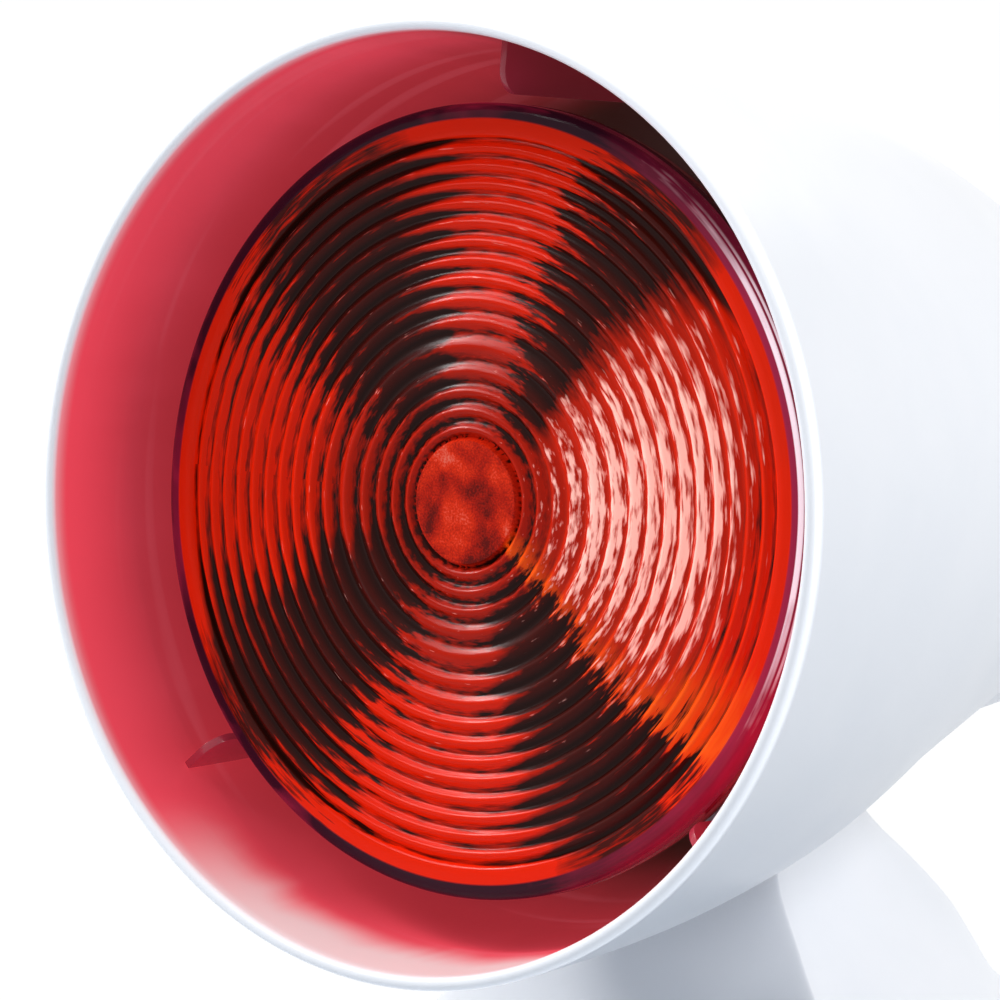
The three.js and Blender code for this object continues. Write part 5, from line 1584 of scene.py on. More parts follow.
@dataclass
class PressedBulb:
    """The reflector bulb: a ringed ruby lens sealed on a deep bowl."""

    finishes: Finishes
    axes: HeadAxes
    flange_radius: float = 61.0
    flange_depth: float = 16.5
    crown: float = 1.8
    lens_thickness: float = 4.0
    groove_depth: float = 0.95
    shoulder: float = 1.3
    seam: float = 21.1
    neck_end: float = 112.1
    glass: float = 2.6
    sides: int = 224
    ring_points: int = 8
    bowl_sides: int = 160
    bowl_steps: int = 44
    grooves: tuple[float, ...] = (
        10.0,
        12.7,
        15.6,
        18.5,
        22.0,
        26.2,
        29.4,
        32.8,
        35.7,
        38.6,
        41.4,
        44.4,
        47.3,
        50.1,
        52.9,
        55.6,
    )
    bowl_shares: tuple[Row, ...] = (
        (0.0, 1.0),
        (0.04, 0.99),
        (0.16, 0.935),
        (0.32, 0.845),
        (0.49, 0.725),
        (0.65, 0.595),
        (0.79, 0.465),
        (0.91, 0.37),
        (1.0, 0.325),
    )

    def build(self) -> None:
        """Builds the lens and the bowl."""
        lens = pull_rings("ringed_lens", self.lens_rings(), self.sides)
        settle(lens, self.axes.matrix())
        write_attribute(lens, "groove", lambda place: self.ring_share(place)[0])
        write_attribute(lens, "outward", lambda place: self.ring_share(place)[1])
        smooth(lens, 50.0)
        mount(lens, Body.BULB, self.finishes.lens, ["bulb_lens"])
        bowl = pull_rings("bulb_bowl", self.bowl_rings(), self.bowl_sides)
        settle(bowl, self.axes.matrix())
        smooth(bowl)
        mount(bowl, Body.BULB, self.finishes.bowl, ["bulb_reflector"])

    def groove_at(self, radius: float) -> tuple[float, float]:
        """Finds the place in the ring pattern at a radius.

        Args:
            radius: The distance from the middle.

        Returns:
            How deep in a groove the place is, from 0 to 1, and how far it is on the
            slope that looks outwards.
        """
        for before, after in zip(self.grooves, self.grooves[1:]):
            if before <= radius <= after:
                share = ((radius - before) / (after - before)) ** 0.8
                depth = abs(math.cos(math.pi * share)) ** 1.6
                return depth, max(0.0, math.sin(math.pi * min(share * 1.25 - 0.25, 1.0)))
        return max(0.0, 1.0 - abs(radius - self.grooves[-1]) / 0.8) ** 2, 0.0

    def surface(self, radius: float) -> float:
        """Gives the depth of the lens's front at a radius.

        Args:
            radius: The distance from the middle.

        Returns:
            The depth.
        """
        share = radius / self.flange_radius
        front = self.flange_depth - self.crown * (1 - share * share)
        return front + self.groove_depth * self.groove_at(radius)[0]

    def lens_rings(self) -> list[Row]:
        """Lists the rings from the middle of the back, round the edge, to the middle in front.

        Returns:
            Rows of depth and radius.
        """
        edge = self.flange_radius - self.shoulder
        radii = [0.6, 3.0, 6.0, 8.0, 9.4]
        for before, after in zip(self.grooves, self.grooves[1:]):
            span = after - before
            radii += [before + span * step / self.ring_points for step in range(self.ring_points)]
        radii += [self.grooves[-1] + step for step in (0.0, 0.2, 0.45, 0.8, 1.8, 2.9)]
        radii.append(edge)
        front = [(self.surface(radius), radius) for radius in radii]
        roll = []
        for step in range(1, 9):
            turn = math.pi / 2 * step / 8
            depth = self.flange_depth + self.shoulder * (1 - math.cos(turn))
            roll.append((depth, edge + self.shoulder * math.sin(turn)))
        back = [
            (self.seam - 0.8, self.flange_radius),
            (self.seam - 0.3, self.flange_radius - 0.5),
            (self.seam - 0.3, self.flange_radius - self.glass),
            (self.surface(edge) + self.lens_thickness, self.flange_radius - self.glass * 2),
            (self.surface(0.0) + self.lens_thickness, 0.6),
        ]
        return [*reversed(back), *reversed(roll), *reversed(front)]

    def ring_share(self, place: Vector) -> tuple[float, float]:
        """Reads the ring pattern at a point of the finished lens.

        Args:
            place: The point, in metres, on the lamp's axes.

        Returns:
            How deep in a groove it is, and how far on the slope that looks outwards.
        """
        own = self.axes.matrix().inverted() @ place / MM
        front = own.y < self.surface(math.hypot(own.x, own.z)) + 1.0
        return self.groove_at(math.hypot(own.x, own.z)) if front else (0.0, 0.0)

    def bowl_rings(self) -> list[Row]:
        """Lists the rings of the bowl, from its floor inside to its neck outside.

        Returns:
            Rows of depth and radius.
        """
        length = self.neck_end - self.seam
        table = [(self.seam + d * length, r * self.flange_radius) for d, r in self.bowl_shares]
        outer = smooth_rows(table, self.bowl_steps)
        floor = self.neck_end - self.glass * 2
        inner = [row for row in inward_rows(outer, self.glass) if self.seam < row[0] < floor - 2.6]
        start = (self.seam, self.flange_radius - self.glass)
        inside = [(floor, 0.5), (floor, inner[-1][1] - 2.6), *reversed(inner), start]
        edge = [(self.seam, self.flange_radius - 0.5), (self.seam + 0.5, self.flange_radius)]
        return [*inside, *edge, *outer[1:], (self.neck_end, 0.5)]


# Stand


@dataclass
class FlaredStand:
    """The flared pedestal with a flat front between two creases, and its base."""

    finishes: Finishes
    hinge_y: float = 8.7312
    half_width: float = 71.0
    foot_front: float = 80.0
    foot_rear: float = 70.0
    crease: float = 30.0
    top: float = 62.0
    wall: float = 3.0
    square_share: float = 0.18
    rear_points: int = 72
    front_points: int = 40
    steps: int = 44
    hinge_height: float = 75.0
    cheek_radius: float = 8.5
    cheek_inner: float = 7.0
    cheek_outer: float = 12.0
    pad_places: tuple[Row, ...] = ((-40.0, -58.0), (40.0, -58.0), (-40.0, 36.0), (40.0, 36.0))
    post_places: tuple[Row, ...] = ((-44.0, -40.0), (44.0, -40.0), (-44.0, 14.0), (44.0, 14.0))
    gland_height: float = 10.6
    gland_face: float = 69.0
    cable_way: float = 5.2
    pivot_way: float = 2.8
    gland_seat: float = 6.5
    pad_radius: float = 7.0
    pad_height: float = 2.7
    sink_radius: float = 3.2
    screw_way: float = 1.8
    shares: tuple[Row, ...] = (
        (0.024, 0.979, 1.0, 0.97, 0.979),
        (0.07, 1.0, 1.0, 1.0, 1.0),
        (0.125, 0.985, 1.0, 0.96, 0.99),
        (0.165, 0.93, 1.01, 0.84, 0.965),
        (0.226, 0.845, 1.04, 0.62, 0.921),
        (0.323, 0.725, 1.09, 0.36, 0.8),
        (0.435, 0.6, 1.115, 0.16, 0.685),
        (0.532, 0.525, 1.11, 0.09, 0.64),
        (0.629, 0.458, 1.075, 0.05, 0.586),
        (0.742, 0.366, 0.935, 0.03, 0.49),
        (0.879, 0.25, 0.715, 0.03, 0.355),
        (1.0, 0.2, 0.5, 0.03, 0.25),
    )
    rings: list[Row] = field(init=False)

    def __post_init__(self) -> None:
        """Smooths the table into rings of height, width, crease, bulge and rear reach."""
        plan, reach = [], []
        for height, width, crease, bulge, rear in self.shares:
            level = height * self.top
            plan.append((level, width * self.half_width, crease * self.crease))
            reach.append((level, bulge * (self.foot_front - self.crease), rear * self.foot_rear))
        pairs = zip(smooth_rows(plan, self.steps), smooth_rows(reach, self.steps))
        self.rings = [(*a, *b[1:]) for a, b in pairs]

    def outline(self, ring: Row, inset: float, height: float) -> list[Vector]:
        """Draws the stand's plan at one ring.

        Args:
            ring: Height, half width, crease, bulge and rear reach.
            inset: How far inside the surface it is drawn.
            height: The height that it is drawn at.

        Returns:
            The points of the outline, anticlockwise from above.
        """
        level, width, crease, bulge, rear = ring
        width -= inset
        line = inset - crease
        power = 1 - self.square_share * level / self.top
        points = []
        for index in range(self.rear_points):
            turn = index / self.rear_points * math.pi
            across = math.copysign(abs(math.cos(turn)) ** power, math.cos(turn))
            y = line + (rear - inset - line) * abs(math.sin(turn)) ** power
            points.append(Vector((width * across, y + self.hinge_y, height)))
        for index in range(self.front_points):
            turn = index / self.front_points * math.pi
            y = line - max(bulge, 0.0) * math.sin(turn)
            points.append(Vector((-width * math.cos(turn), y + self.hinge_y, height)))
        return points

    def build(self) -> None:
        """Builds the pedestal, the base plate and the pads."""
        self.build_pedestal()
        self.build_base_plate()
        self.build_pads()

    def build_pedestal(self) -> None:
        """Builds the hollow pedestal with its two hinge cheeks."""
        shell = pull_outlines("pedestal", self.shell_outlines())
        round_edges(shell, 1.1, 3, 50.0)
        combine(shell, "UNION", [self.cheek(-1), self.cheek(1)])
        axis_y = self.hinge_y
        way = rod("way", self.cable_way, Vector((0, axis_y, 50)), Vector((0, axis_y, 70)))
        left = Vector((-14, axis_y, self.hinge_height))
        pivot = rod("pivot_way", self.pivot_way, left, Vector((14, axis_y, self.hinge_height)))
        face = self.gland_face + axis_y
        start = Vector((0, face - 16, self.gland_height))
        end = Vector((0, face + 4, self.gland_height))
        gland = rod("gland_way", self.cable_way, start, end)
        seat = rod("gland_seat", self.gland_seat, Vector((0, face, self.gland_height)), end)
        combine(shell, "DIFFERENCE", [way, pivot, gland, seat, *RockerSwitch.recess()])
        smooth(shell, 38.0)
        mount(shell, Body.STAND, self.finishes.white, ["stand_shell"])

    def shell_outlines(self) -> list[list[Vector]]:
        """Lists the outlines from the roof outside, down to the foot, and up inside.

        Returns:
            The outlines.
        """
        last = self.rings[-1]
        centre = Vector((0.0, self.hinge_y, 0.0))
        roof = [p.lerp(centre + Vector((0, 0, p.z)), 0.96) for p in self.outline(last, 0.0, self.top)]
        outside = [self.outline(ring, 0.0, ring[0]) for ring in reversed(self.rings)]
        inner_top = self.top - self.wall
        kept = [ring for ring in self.rings if 5.0 < ring[0] < inner_top + 1.0]
        foot = self.outline(self.rings[3], self.wall, self.rings[0][0])
        inside = [self.outline(ring, self.wall, ring[0] - self.wall / 2) for ring in kept]
        ceiling = [p.lerp(centre + Vector((0, 0, p.z)), 0.96) for p in inside[-1]]
        return [roof, *outside, foot, *inside, ceiling]

    def cheek(self, side: int) -> Piece:
        """Makes one ear of the hinge, round at the top.

        Args:
            side: -1 for the left ear, 1 for the right.

        Returns:
            The ear.
        """
        near = self.cheek_inner if side > 0 else -self.cheek_outer
        far = near + self.cheek_outer - self.cheek_inner
        low = (near, self.hinge_y - self.cheek_radius, self.top - self.wall)
        high = (far, self.hinge_y + self.cheek_radius, self.hinge_height + self.cheek_radius)
        ear = block("cheek", low, high)
        with editing(ear):
            select_where(ear, Element.EDGE, self.is_cheek_top)
            bpy.ops.mesh.bevel(offset=(self.cheek_radius - 0.05) * MM, segments=14, affect="EDGES")
        round_edges(ear, 0.4, 2, 60.0)
        return ear

    def is_cheek_top(self, edge: bmesh.types.BMEdge) -> bool:
        """Says whether an edge is one of the two at the top that get the hinge's round.

        Args:
            edge: The edge.

        Returns:
            Whether it is.
        """
        a, b = (point.co for point in edge.verts)
        high = min(a.z, b.z) > self.hinge_height * MM
        return high and abs(a.y - b.y) < 0.1 * MM

    def build_base_plate(self) -> None:
        """Builds the plate that closes the foot, with its wells for pads and screws."""
        foot = self.rings[3]
        levels = (1.5, 1.9, 4.1, 4.5)
        insets = (3.9, 3.5, 3.5, 3.9)
        plate = pull_outlines(
            "base_cover", [self.outline(foot, inset, level) for inset, level in zip(insets, levels)]
        )
        tools = []
        for x, y in self.pad_places:
            spot = Vector((x, y + self.hinge_y, 0.0))
            tools.append(rod("well", self.pad_radius + 0.3, spot, spot + Vector((0, 0, 3.0))))
        for x, y in self.post_places:
            spot = Vector((x, y + self.hinge_y, 0.0))
            tools.append(rod("sink", self.sink_radius, spot, spot + Vector((0, 0, 3.5)), 32))
            tools.append(rod("hole", self.screw_way, spot, spot + Vector((0, 0, 6.0)), 24))
        combine(plate, "DIFFERENCE", tools)
        smooth(plate)
        mount(plate, Body.STAND, self.finishes.base, ["base_plate"])

    def build_pads(self) -> None:
        """Builds one rubber pad and copies it to the four places."""
        master = rod("pad_master", self.pad_radius, Vector(), Vector((0, 0, self.pad_height)), 64)
        round_edges(master, 0.5, 3)
        with editing(master):
            select_where(master, Element.FACE, lambda face: face.normal.z < -0.99)
            bpy.ops.mesh.inset(thickness=1.4 * MM)
            bpy.ops.mesh.inset(thickness=0.5 * MM, depth=-0.35 * MM)
            bpy.ops.mesh.inset(thickness=1.6 * MM)
            bpy.ops.mesh.inset(thickness=0.5 * MM, depth=0.35 * MM)
        for (x, y), name in zip(self.pad_places, CORNERS):
            pad = copy_piece(master, f"rubber_pad_{name}")
            settle(pad, Matrix.Translation(Vector((x, y + self.hinge_y, 0.0)) * MM))
            smooth(pad)
            mount(pad, Body.STAND, self.finishes.rubber, [f"foot_pad_{name}"])
        bpy.data.objects.remove(master)


def copy_piece(master: Piece, name: str) -> Piece:
    """Copies a piece with a mesh of its own.

    Args:
        master: The piece to copy.
        name: The copy's name.

    Returns:
        The copy.
    """
    piece = master.copy()
    piece.data = master.data.copy()
    piece.name = piece.data.name = name
    bpy.context.scene.collection.objects.link(piece)
    return piece


@dataclass
class RockerSwitch:
    """The rocker switch on the stand's back, drawn flat and then leaned on the shell."""

    finishes: Finishes
    frame_width: float = 15.0
    frame_length: float = 21.0
    frame_corner: float = 1.8
    body_width: float = 12.4
    body_length: float = 18.4
    body_depth: float = 13.0
    pocket_width: float = 9.6
    pocket_length: float = 15.6
    pocket_floor: float = -4.7
    rocker_half_width: float = 4.4
    rocker_half_length: float = 7.0
    deck: float = 4.2
    dip: float = 2.2
    skirt: float = 3.4
    throw: float = 12.0

    @staticmethod
    def lean() -> Matrix:
        """Gives the matrix that puts the flat switch in its place on the stand.

        Returns:
            The matrix, in metres.
        """
        joint = next(joint for joint in frame["joints"] if joint["name"] == "switch_rock")
        turn = Matrix.Rotation(math.radians(SWITCH_LEAN), 4, "X")
        return Matrix.Translation(Vector(joint["pos_m"])) @ turn

    @classmethod
    def recess(cls) -> list[Piece]:
        """Makes the tools that cut the switch's seat into the stand.

        Returns:
            The tools.
        """
        frame_tool = block("recess", (-7.8, -10.8, 0.0), (7.8, 10.8, 18.0))
        body_tool = block("body_way", (-6.5, -9.5, -14.0), (6.5, 9.5, 2.0))
        for tool in (frame_tool, body_tool):
            settle(tool, cls.lean())
        return [frame_tool, body_tool]

    def build(self) -> None:
        """Builds the housing, the rocker and its two marks."""
        self.build_housing()
        self.build_rocker()

    def build_housing(self) -> None:
        """Builds the housing: a rounded frame on a box with a pocket."""
        half = Vector((self.frame_width / 2, self.frame_length / 2))
        housing = block("switch_frame", (-half.x, -half.y, 0.3), (half.x, half.y, 2.3))
        with editing(housing):
            select_where(housing, Element.EDGE, is_upright)
            bpy.ops.mesh.bevel(offset=self.frame_corner * MM, segments=6, affect="EDGES")
        round_edges(housing, 0.5, 3)
        body = Vector((self.body_width / 2, self.body_length / 2))
        box = block("box", (-body.x, -body.y, -self.body_depth), (body.x, body.y, 0.8))
        combine(housing, "UNION", [box])
        hole = Vector((self.pocket_width / 2, self.pocket_length / 2))
        pocket = block("pocket", (-hole.x, -hole.y, self.pocket_floor), (hole.x, hole.y, 5.0))
        pins = rod("pin_way", 1.2, Vector((-5.6, 0, 0)), Vector((5.6, 0, 0)), 24)
        combine(housing, "DIFFERENCE", [pocket, pins])
        settle(housing, self.lean())
        smooth(housing)
        mount(housing, Body.STAND, self.finishes.black, ["switch_housing"])

    def build_rocker(self) -> None:
        """Builds the rocker, hollow on top, with a bar and a ring as its marks."""
        length, width = self.rocker_half_length, self.rocker_half_width
        rocker = block("rocker_cap", (-width, -length, 0.0), (width, length, self.deck))
        with editing(rocker):
            select_where(rocker, Element.EDGE, self.is_long_edge)
            bpy.ops.mesh.subdivide(number_cuts=15)
            bpy.ops.mesh.select_all(action="DESELECT")
        self.hollow(rocker)
        keel = block("keel", (-width, -1.8, -self.skirt), (width, 1.8, 0.4))
        with editing(keel):
            select_where(keel, Element.POINT, lambda point: point.co.z > 0)
            bpy.ops.transform.resize(value=(1.0, 3.6, 1.0), center_override=(0, 0, 0))
        combine(rocker, "UNION", [keel])
        round_edges(rocker, 0.45, 3, 50.0)
        pin = rod("pin", 0.9, Vector((-5.15, 0, 0)), Vector((5.15, 0, 0)), 20)
        combine(rocker, "UNION", [pin])
        tilt = Matrix.Rotation(math.radians(-self.throw / 2), 4, "X")
        settle(rocker, self.lean() @ tilt)
        smooth(rocker)
        mount(rocker, Body.ROCKER, self.finishes.rocker, ["switch_rocker"])
        bar = block("rocker_bar_mark", (-0.3, -1.3, -0.1), (0.3, 1.3, 0.09))
        round_edges(bar, 0.08, 2)
        self.build_mark(bar, 4.1, tilt)
        deselect_all()
        bpy.ops.mesh.primitive_torus_add(
            major_radius=1.25 * MM, minor_radius=0.28 * MM, major_segments=40, minor_segments=10
        )
        ring = name_piece("rocker_ring_mark")
        with editing(ring):
            bpy.ops.mesh.select_all(action="SELECT")
            bpy.ops.transform.resize(value=(1.0, 1.0, 0.35), center_override=(0, 0, 0))
        self.build_mark(ring, -4.1, tilt)

    def deck_at(self, y: float) -> float:
        """Gives the height of the rocker's hollow top at a place along it."""
        share = (y + self.rocker_half_length) / (2 * self.rocker_half_length)
        return self.deck - 2 * self.dip * share * (1 - share)

    def hollow(self, rocker: Piece) -> None:
        """Lowers the rocker's top, row by row, to a shallow curve.

        Args:
            rocker: The rocker, which is changed.
        """
        rows = sorted({round(point.co.y, 7) for point in rocker.data.vertices})
        with editing(rocker):
            for row in rows:
                select_where(
                    rocker, Element.POINT, lambda p: p.co.z > 3 * MM and abs(p.co.y - row) < 1e-6
                )
                fall = (self.deck_at(row / MM) - self.deck) * MM
                bpy.ops.transform.translate(value=(0.0, 0.0, fall))

    def is_long_edge(self, edge: bmesh.types.BMEdge) -> bool:
        """Says whether an edge runs along the rocker."""
        a, b = (point.co for point in edge.verts)
        return abs(a.y - b.y) > self.rocker_half_length * MM

    def build_mark(self, mark: Piece, y: float, tilt: Matrix) -> None:
        """Sets a mark on the rocker's top.

        Args:
            mark: The mark, flat and centred.
            y: Its place along the rocker.
            tilt: The rocker's own tilt at rest.
        """
        slope = self.deck_at(y + 0.5) - self.deck_at(y - 0.5)
        place = Matrix.Translation(Vector((0.0, y, self.deck_at(y))) * MM)
        settle(mark, self.lean() @ tilt @ place @ Matrix.Rotation(math.atan(slope), 4, "X"))
        smooth(mark)
        mount(mark, Body.ROCKER, self.finishes.mark)


@dataclass
class CordGland:
    """The rubber bush that a mains cord enters by."""

    finishes: Finishes
    stand: FlaredStand
    bore: float = 3.5
    neck: float = 4.9
    flange: float = 6.2
    length: float = 14.0
    flange_length: float = 2.4

    def build(self) -> None:
        """Builds the bush as one turned body with a flared mouth."""
        face = self.stand.gland_face
        front, back = face - self.length, face + self.flange_length
        rings = [
            (front, self.bore + 0.3),
            (front, self.neck - 0.4),
            (front + 0.4, self.neck),
            (face - 6.0, self.neck),
            (face - 5.4, self.neck - 0.5),
            (face - 4.2, self.neck - 0.5),
            (face - 3.6, self.neck),
            (face + 0.3, self.neck),
            (face + 0.3, self.flange - 0.3),
            (face + 0.6, self.flange),
            (face + 1.3, self.flange),
            (back - 0.5, self.flange - 0.5),
            (back, self.neck + 0.1),
            (back, self.bore + 0.9),
            (back - 0.3, self.bore + 0.4),
            (back - 1.2, self.bore),
            (front + 0.6, self.bore),
            (front, self.bore + 0.3),
        ]
        gland = pull_rings("cord_bush", rings, 64)
        place = Vector((0.0, self.stand.hinge_y, self.stand.gland_height))
        settle(gland, Matrix.Translation(place * MM))
        smooth(gland)
        mount(gland, Body.STAND, self.finishes.rubber, ["cord_gland"])


# Fittings


@dataclass(frozen=True)
class ScrewKind:
    """One size of screw: its length over all, its shank and its head."""

    name: str
    length: float
    radius: float = 1.5
    head_radius: float = 2.9
    head_height: float = 2.0


@dataclass
class Screws:
    """All the screws: each size is modelled once and copied to its places."""

    finishes: Finishes
    axes: HeadAxes

    def build(self) -> None:
        """Builds every screw of the lamp."""
        back = self.axes.back
        down = Vector((0.0, 0.0, -1.0))
        base = ScrewKind("base", 9.0, head_height=1.7)
        self.place(base, Body.STAND, {f"base_screw_{name}": down for name in CORNERS})
        self.place(ScrewKind("cover", 18.1), Body.HEAD, self.pair("cover_screw", back, back))
        self.place(ScrewKind("holder", 9.1), Body.HEAD, self.pair("holder_screw", back, back))
        self.place(ScrewKind("frame", 8.3), Body.HEAD, self.pair("frame_screw", back, back))
        pivot = ScrewKind("pivot", 11.2, 2.5, 4.8, 2.6)
        left, right = Vector((-1.0, 0.0, 0.0)), Vector((1.0, 0.0, 0.0))
        self.place(pivot, Body.STAND, self.pair("pivot_screw", left, right))

    @staticmethod
    def pair(name: str, left: Vector, right: Vector) -> dict[str, Vector]:
        """Names a left and a right screw, each with the way that its head looks."""
        return {f"{name}_left": left, f"{name}_right": right}

    def model(self, kind: ScrewKind) -> Piece:
        """Models one screw on the Z axis, head up, with its middle at the origin.

        Args:
            kind: The size of the screw.

        Returns:
            The screw.
        """
        end = kind.length / 2
        under = end - kind.head_height
        screw = rod("screw_head", kind.head_radius, Vector((0, 0, under)), Vector((0, 0, end)), 48)
        with editing(screw):
            select_where(screw, Element.FACE, lambda face: face.normal.z > 0.99)
            bpy.ops.mesh.bevel(offset=kind.head_height * 0.55 * MM, segments=5, affect="EDGES")
        arm, width = kind.head_radius * 0.58, kind.head_radius * 0.11
        floor = end - kind.head_height * 0.55
        tools = [
            block("cross", (-arm, -width, floor), (arm, width, end + 1)),
            block("cross", (-width, -arm, floor), (width, arm, end + 1)),
        ]
        combine(screw, "DIFFERENCE", tools)
        shank = self.thread(kind, -end, under + 0.3)
        combine(screw, "UNION", [shank])
        return screw

    def thread(self, kind: ScrewKind, low: float, high: float) -> Piece:
        """Makes a shank with fine thread rings and a blunt point.

        Args:
            kind: The screw's measures.
            low: Where the thread ends.
            high: Where it starts.

        Returns:
            The shank.
        """
        pitch, depth = 0.8, 0.12
        rings = [(low, kind.radius * 0.55), (low + 0.7, kind.radius - depth)]
        level = low + 0.9
        while level + pitch < high - 0.6:
            rings += [(level + pitch / 2, kind.radius), (level + pitch, kind.radius - depth)]
            level += pitch
        rings.append((high, kind.radius - depth))
        shank = pull_rings("shank", rings, 24)
        settle(shank, Matrix.Rotation(math.pi / 2, 4, "X"))
        return shank

    def place(self, kind: ScrewKind, body: Body, places: dict[str, Vector]) -> None:
        """Copies one size of screw to its places.

        Args:
            kind: The size of the screw.
            body: The body that carries the screws.
            places: Each packed screw's name, with the way that its head looks.
        """
        master = self.model(kind)
        for node, way in places.items():
            low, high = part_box(node)
            screw = copy_piece(master, f"cross_{node}")
            turn = way.to_track_quat("Z", "Y").to_matrix().to_4x4()
            settle(screw, Matrix.Translation((low + high) / 2) @ turn)
            smooth(screw)
            mount(screw, body, self.finishes.steel, [node])
        bpy.data.objects.remove(master)


def dress_solids(finishes: Finishes) -> None:
    """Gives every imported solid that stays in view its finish.

    Args:
        finishes: The lamp's finishes.
    """
    worn = {
        finishes.black: ("terminal_block", "bulb_insulator"),
        finishes.washer: ("friction_washer_left", "friction_washer_right"),
        finishes.sheath: ("stand_cable", "switch_lead", "head_cable"),
        finishes.iron: ("ballast_weight",),
        finishes.steel: ("yoke_bracket",),
        finishes.brass: ("bulb_cap", "bulb_tip", "holder_sleeve", "holder_contact"),
        finishes.tungsten: ("bulb_filament", "filament_post_left", "filament_post_right"),
        finishes.ceramic: ("holder_body",),
    }
    for finish, names in worn.items():
        for name in names:
            solid = frame["nodes"][name]
            solid.data.materials.clear()
            solid.data.materials.append(finish.material())
            LOG.info("%s: dressed in %s", name, finish.name)


# Studio


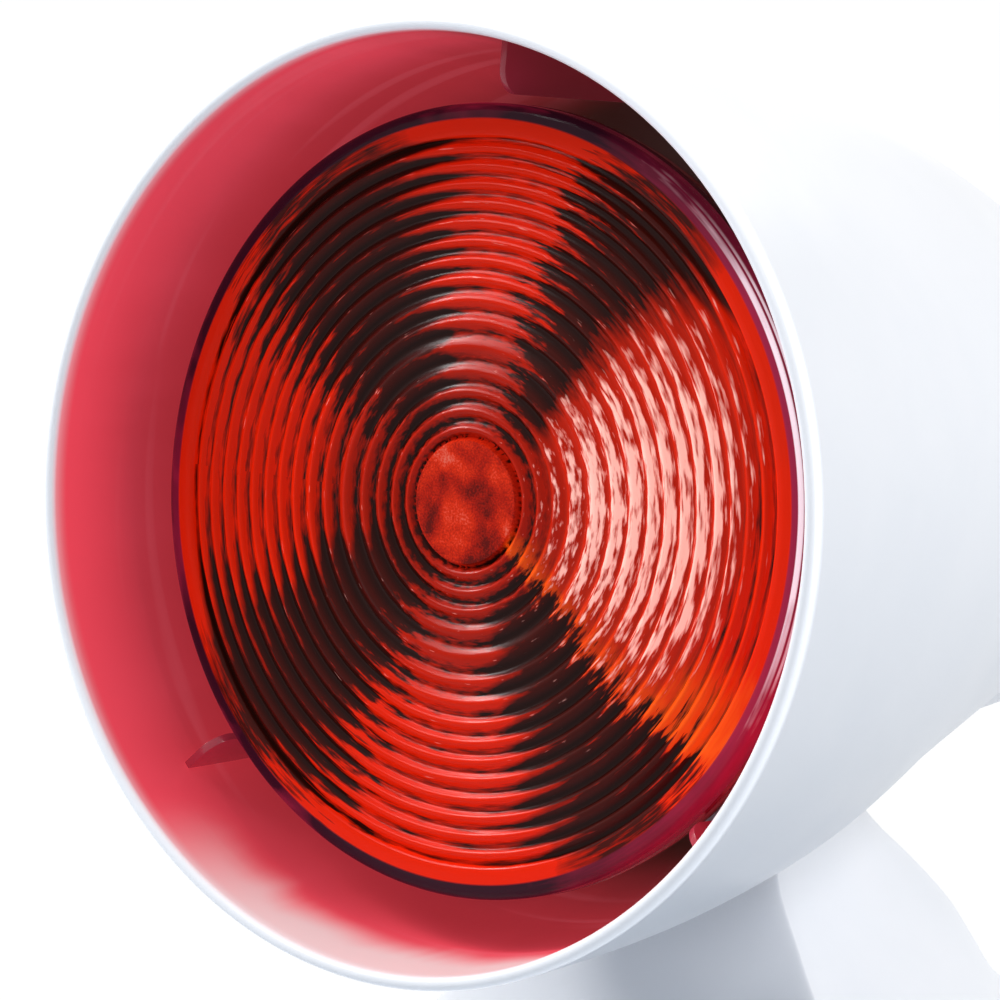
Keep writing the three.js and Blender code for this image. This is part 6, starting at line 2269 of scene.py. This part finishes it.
@dataclass
class Studio:
    """A plain floor, soft lamps and the camera of the reference view."""

    camera_place: Row = (457.0, -668.48971, 260.21596)
    camera_right: Row = (0.7976, 0.6032, 0.0)
    camera_up: Row = (-0.1079, 0.1426, 0.9839)
    focal_length: float = 180.0
    floor_size: float = 40000.0
    world_strength: float = 0.03
    sky_colour: Colour = (0.93, 0.96, 1.0)
    floor_colour: Colour = (0.34, 0.4, 0.47)
    floor_glow: float = 1.08
    floor_share: float = 0.93

    def build(self) -> None:
        """Builds the camera, the floor, the lamps and the sky."""
        self.build_camera()
        self.build_floor()
        self.build_sky()
        target = Vector((0.0, -20.0, 90.0))
        self.build_lamp("key_softbox", Vector((-900, -800, 1250)), target, 600.0, 10.5)
        self.build_lamp("left_softbox", Vector((-1200, -480, 1150)), target, 320.0, 14.0)
        self.build_lamp("side_softbox", Vector((1200, 150, 1080)), target, 700.0, 15.8)
        self.build_lamp("low_softbox", Vector((1400, 0, 180)), target, 500.0, 3.2)
        self.build_lamp("back_softbox", Vector((0, 1200, 1200)), target, 800.0, 6.0)

    def build_camera(self) -> None:
        """Builds the camera, which matches the reference photograph."""
        data = bpy.data.cameras.new("reference_camera")
        data.lens = self.focal_length
        data.sensor_width = 36.0
        data.clip_start, data.clip_end = 0.05, 60.0
        camera = bpy.data.objects.new("reference_camera", data)
        right, up = Vector(self.camera_right), Vector(self.camera_up)
        turn = Matrix((right, up, right.cross(up))).transposed().to_4x4()
        camera.matrix_world = Matrix.Translation(Vector(self.camera_place) * MM) @ turn
        bpy.context.scene.collection.objects.link(camera)
        bpy.context.scene.camera = camera

    def build_lamp(self, name: str, place: Vector, target: Vector, size: float, power: float) -> None:
        """Builds one soft lamp that looks at a target.

        Args:
            name: The lamp's name.
            place: Where it hangs.
            target: What it looks at.
            size: The side of its square face.
            power: Its power in watts.
        """
        data = bpy.data.lights.new(name, "AREA")
        data.size = size * MM
        data.energy = power
        lamp = bpy.data.objects.new(name, data)
        way = (place - target).to_track_quat("Z", "Y").to_matrix().to_4x4()
        lamp.matrix_world = Matrix.Translation(place * MM) @ way
        bpy.context.scene.collection.objects.link(lamp)

    def build_floor(self) -> None:
        """Builds a pale floor that the camera sees as white, with the lamp's shadow on it."""
        deselect_all()
        bpy.ops.mesh.primitive_plane_add(size=self.floor_size * MM)
        floor = name_piece("studio_floor")
        material = bpy.data.materials.new("pale_floor")
        material.use_nodes = True
        tree = material.node_tree
        shader = tree.nodes["Principled BSDF"]
        shader.inputs["Base Color"].default_value = (*self.floor_colour, 1.0)
        shader.inputs["Roughness"].default_value = 0.9
        glow = tree.nodes.new("ShaderNodeEmission")
        glow.inputs["Strength"].default_value = self.floor_glow
        mix = tree.nodes.new("ShaderNodeMixShader")
        share = self.seen_share(tree, self.floor_share)
        tree.links.new(share, mix.inputs["Fac"])
        tree.links.new(shader.outputs["BSDF"], mix.inputs[1])
        tree.links.new(glow.outputs["Emission"], mix.inputs[2])
        tree.links.new(mix.outputs["Shader"], tree.nodes["Material Output"].inputs["Surface"])
        floor.data.materials.append(material)

    @staticmethod
    def seen_share(tree: bpy.types.NodeTree, share: float) -> Socket:
        """Gives a share on rays that show the background, and zero on all others.

        Args:
            tree: The nodes of the material or the sky.
            share: The share for those rays.

        Returns:
            The socket with the share.
        """
        path = tree.nodes.new("ShaderNodeLightPath")
        total = path.outputs["Is Camera Ray"]
        for name in ("Is Glossy Ray", "Is Transmission Ray"):
            node = tree.nodes.new("ShaderNodeMath")
            node.operation = "MAXIMUM"
            tree.links.new(total, node.inputs[0])
            tree.links.new(path.outputs[name], node.inputs[1])
            total = node.outputs["Value"]
        scaled = tree.nodes.new("ShaderNodeMath")
        scaled.operation = "MULTIPLY"
        scaled.inputs[1].default_value = share
        tree.links.new(total, scaled.inputs[0])
        return scaled.outputs["Value"]

    def build_sky(self) -> None:
        """Builds an even sky that the camera sees as white."""
        world = bpy.data.worlds.new("studio_sky")
        world.use_nodes = True
        tree = world.node_tree
        sky = tree.nodes["Background"]
        sky.inputs["Color"].default_value = (*self.sky_colour, 1.0)
        sky.inputs["Strength"].default_value = self.world_strength
        white = tree.nodes.new("ShaderNodeBackground")
        white.inputs["Color"].default_value = (1.0, 1.0, 1.0, 1.0)
        mix = tree.nodes.new("ShaderNodeMixShader")
        tree.links.new(self.seen_share(tree, 1.0), mix.inputs["Fac"])
        tree.links.new(sky.outputs["Background"], mix.inputs[1])
        tree.links.new(white.outputs["Background"], mix.inputs[2])
        tree.links.new(mix.outputs["Shader"], tree.nodes["World Output"].inputs["Surface"])
        bpy.context.scene.world = world
        bpy.context.scene.view_settings.view_transform = "Standard"


def main() -> None:
    """Builds the lamp and its studio."""
    logging.basicConfig(level=logging.INFO, format="%(name)s: %(message)s")
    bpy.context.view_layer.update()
    axes = HeadAxes.from_joints(frame["joints"])
    finishes = Finishes(axes)
    Studio().build()
    shade = BellShade(finishes, axes)
    stand = FlaredStand(finishes)
    shade.build()
    RearCup(finishes, axes, shade).build()
    PressedBulb(finishes, axes).build()
    stand.build()
    RockerSwitch(finishes).build()
    CordGland(finishes, stand).build()
    Screws(finishes, axes).build()
    dress_solids(finishes)


if __name__ == "__main__":
    main()
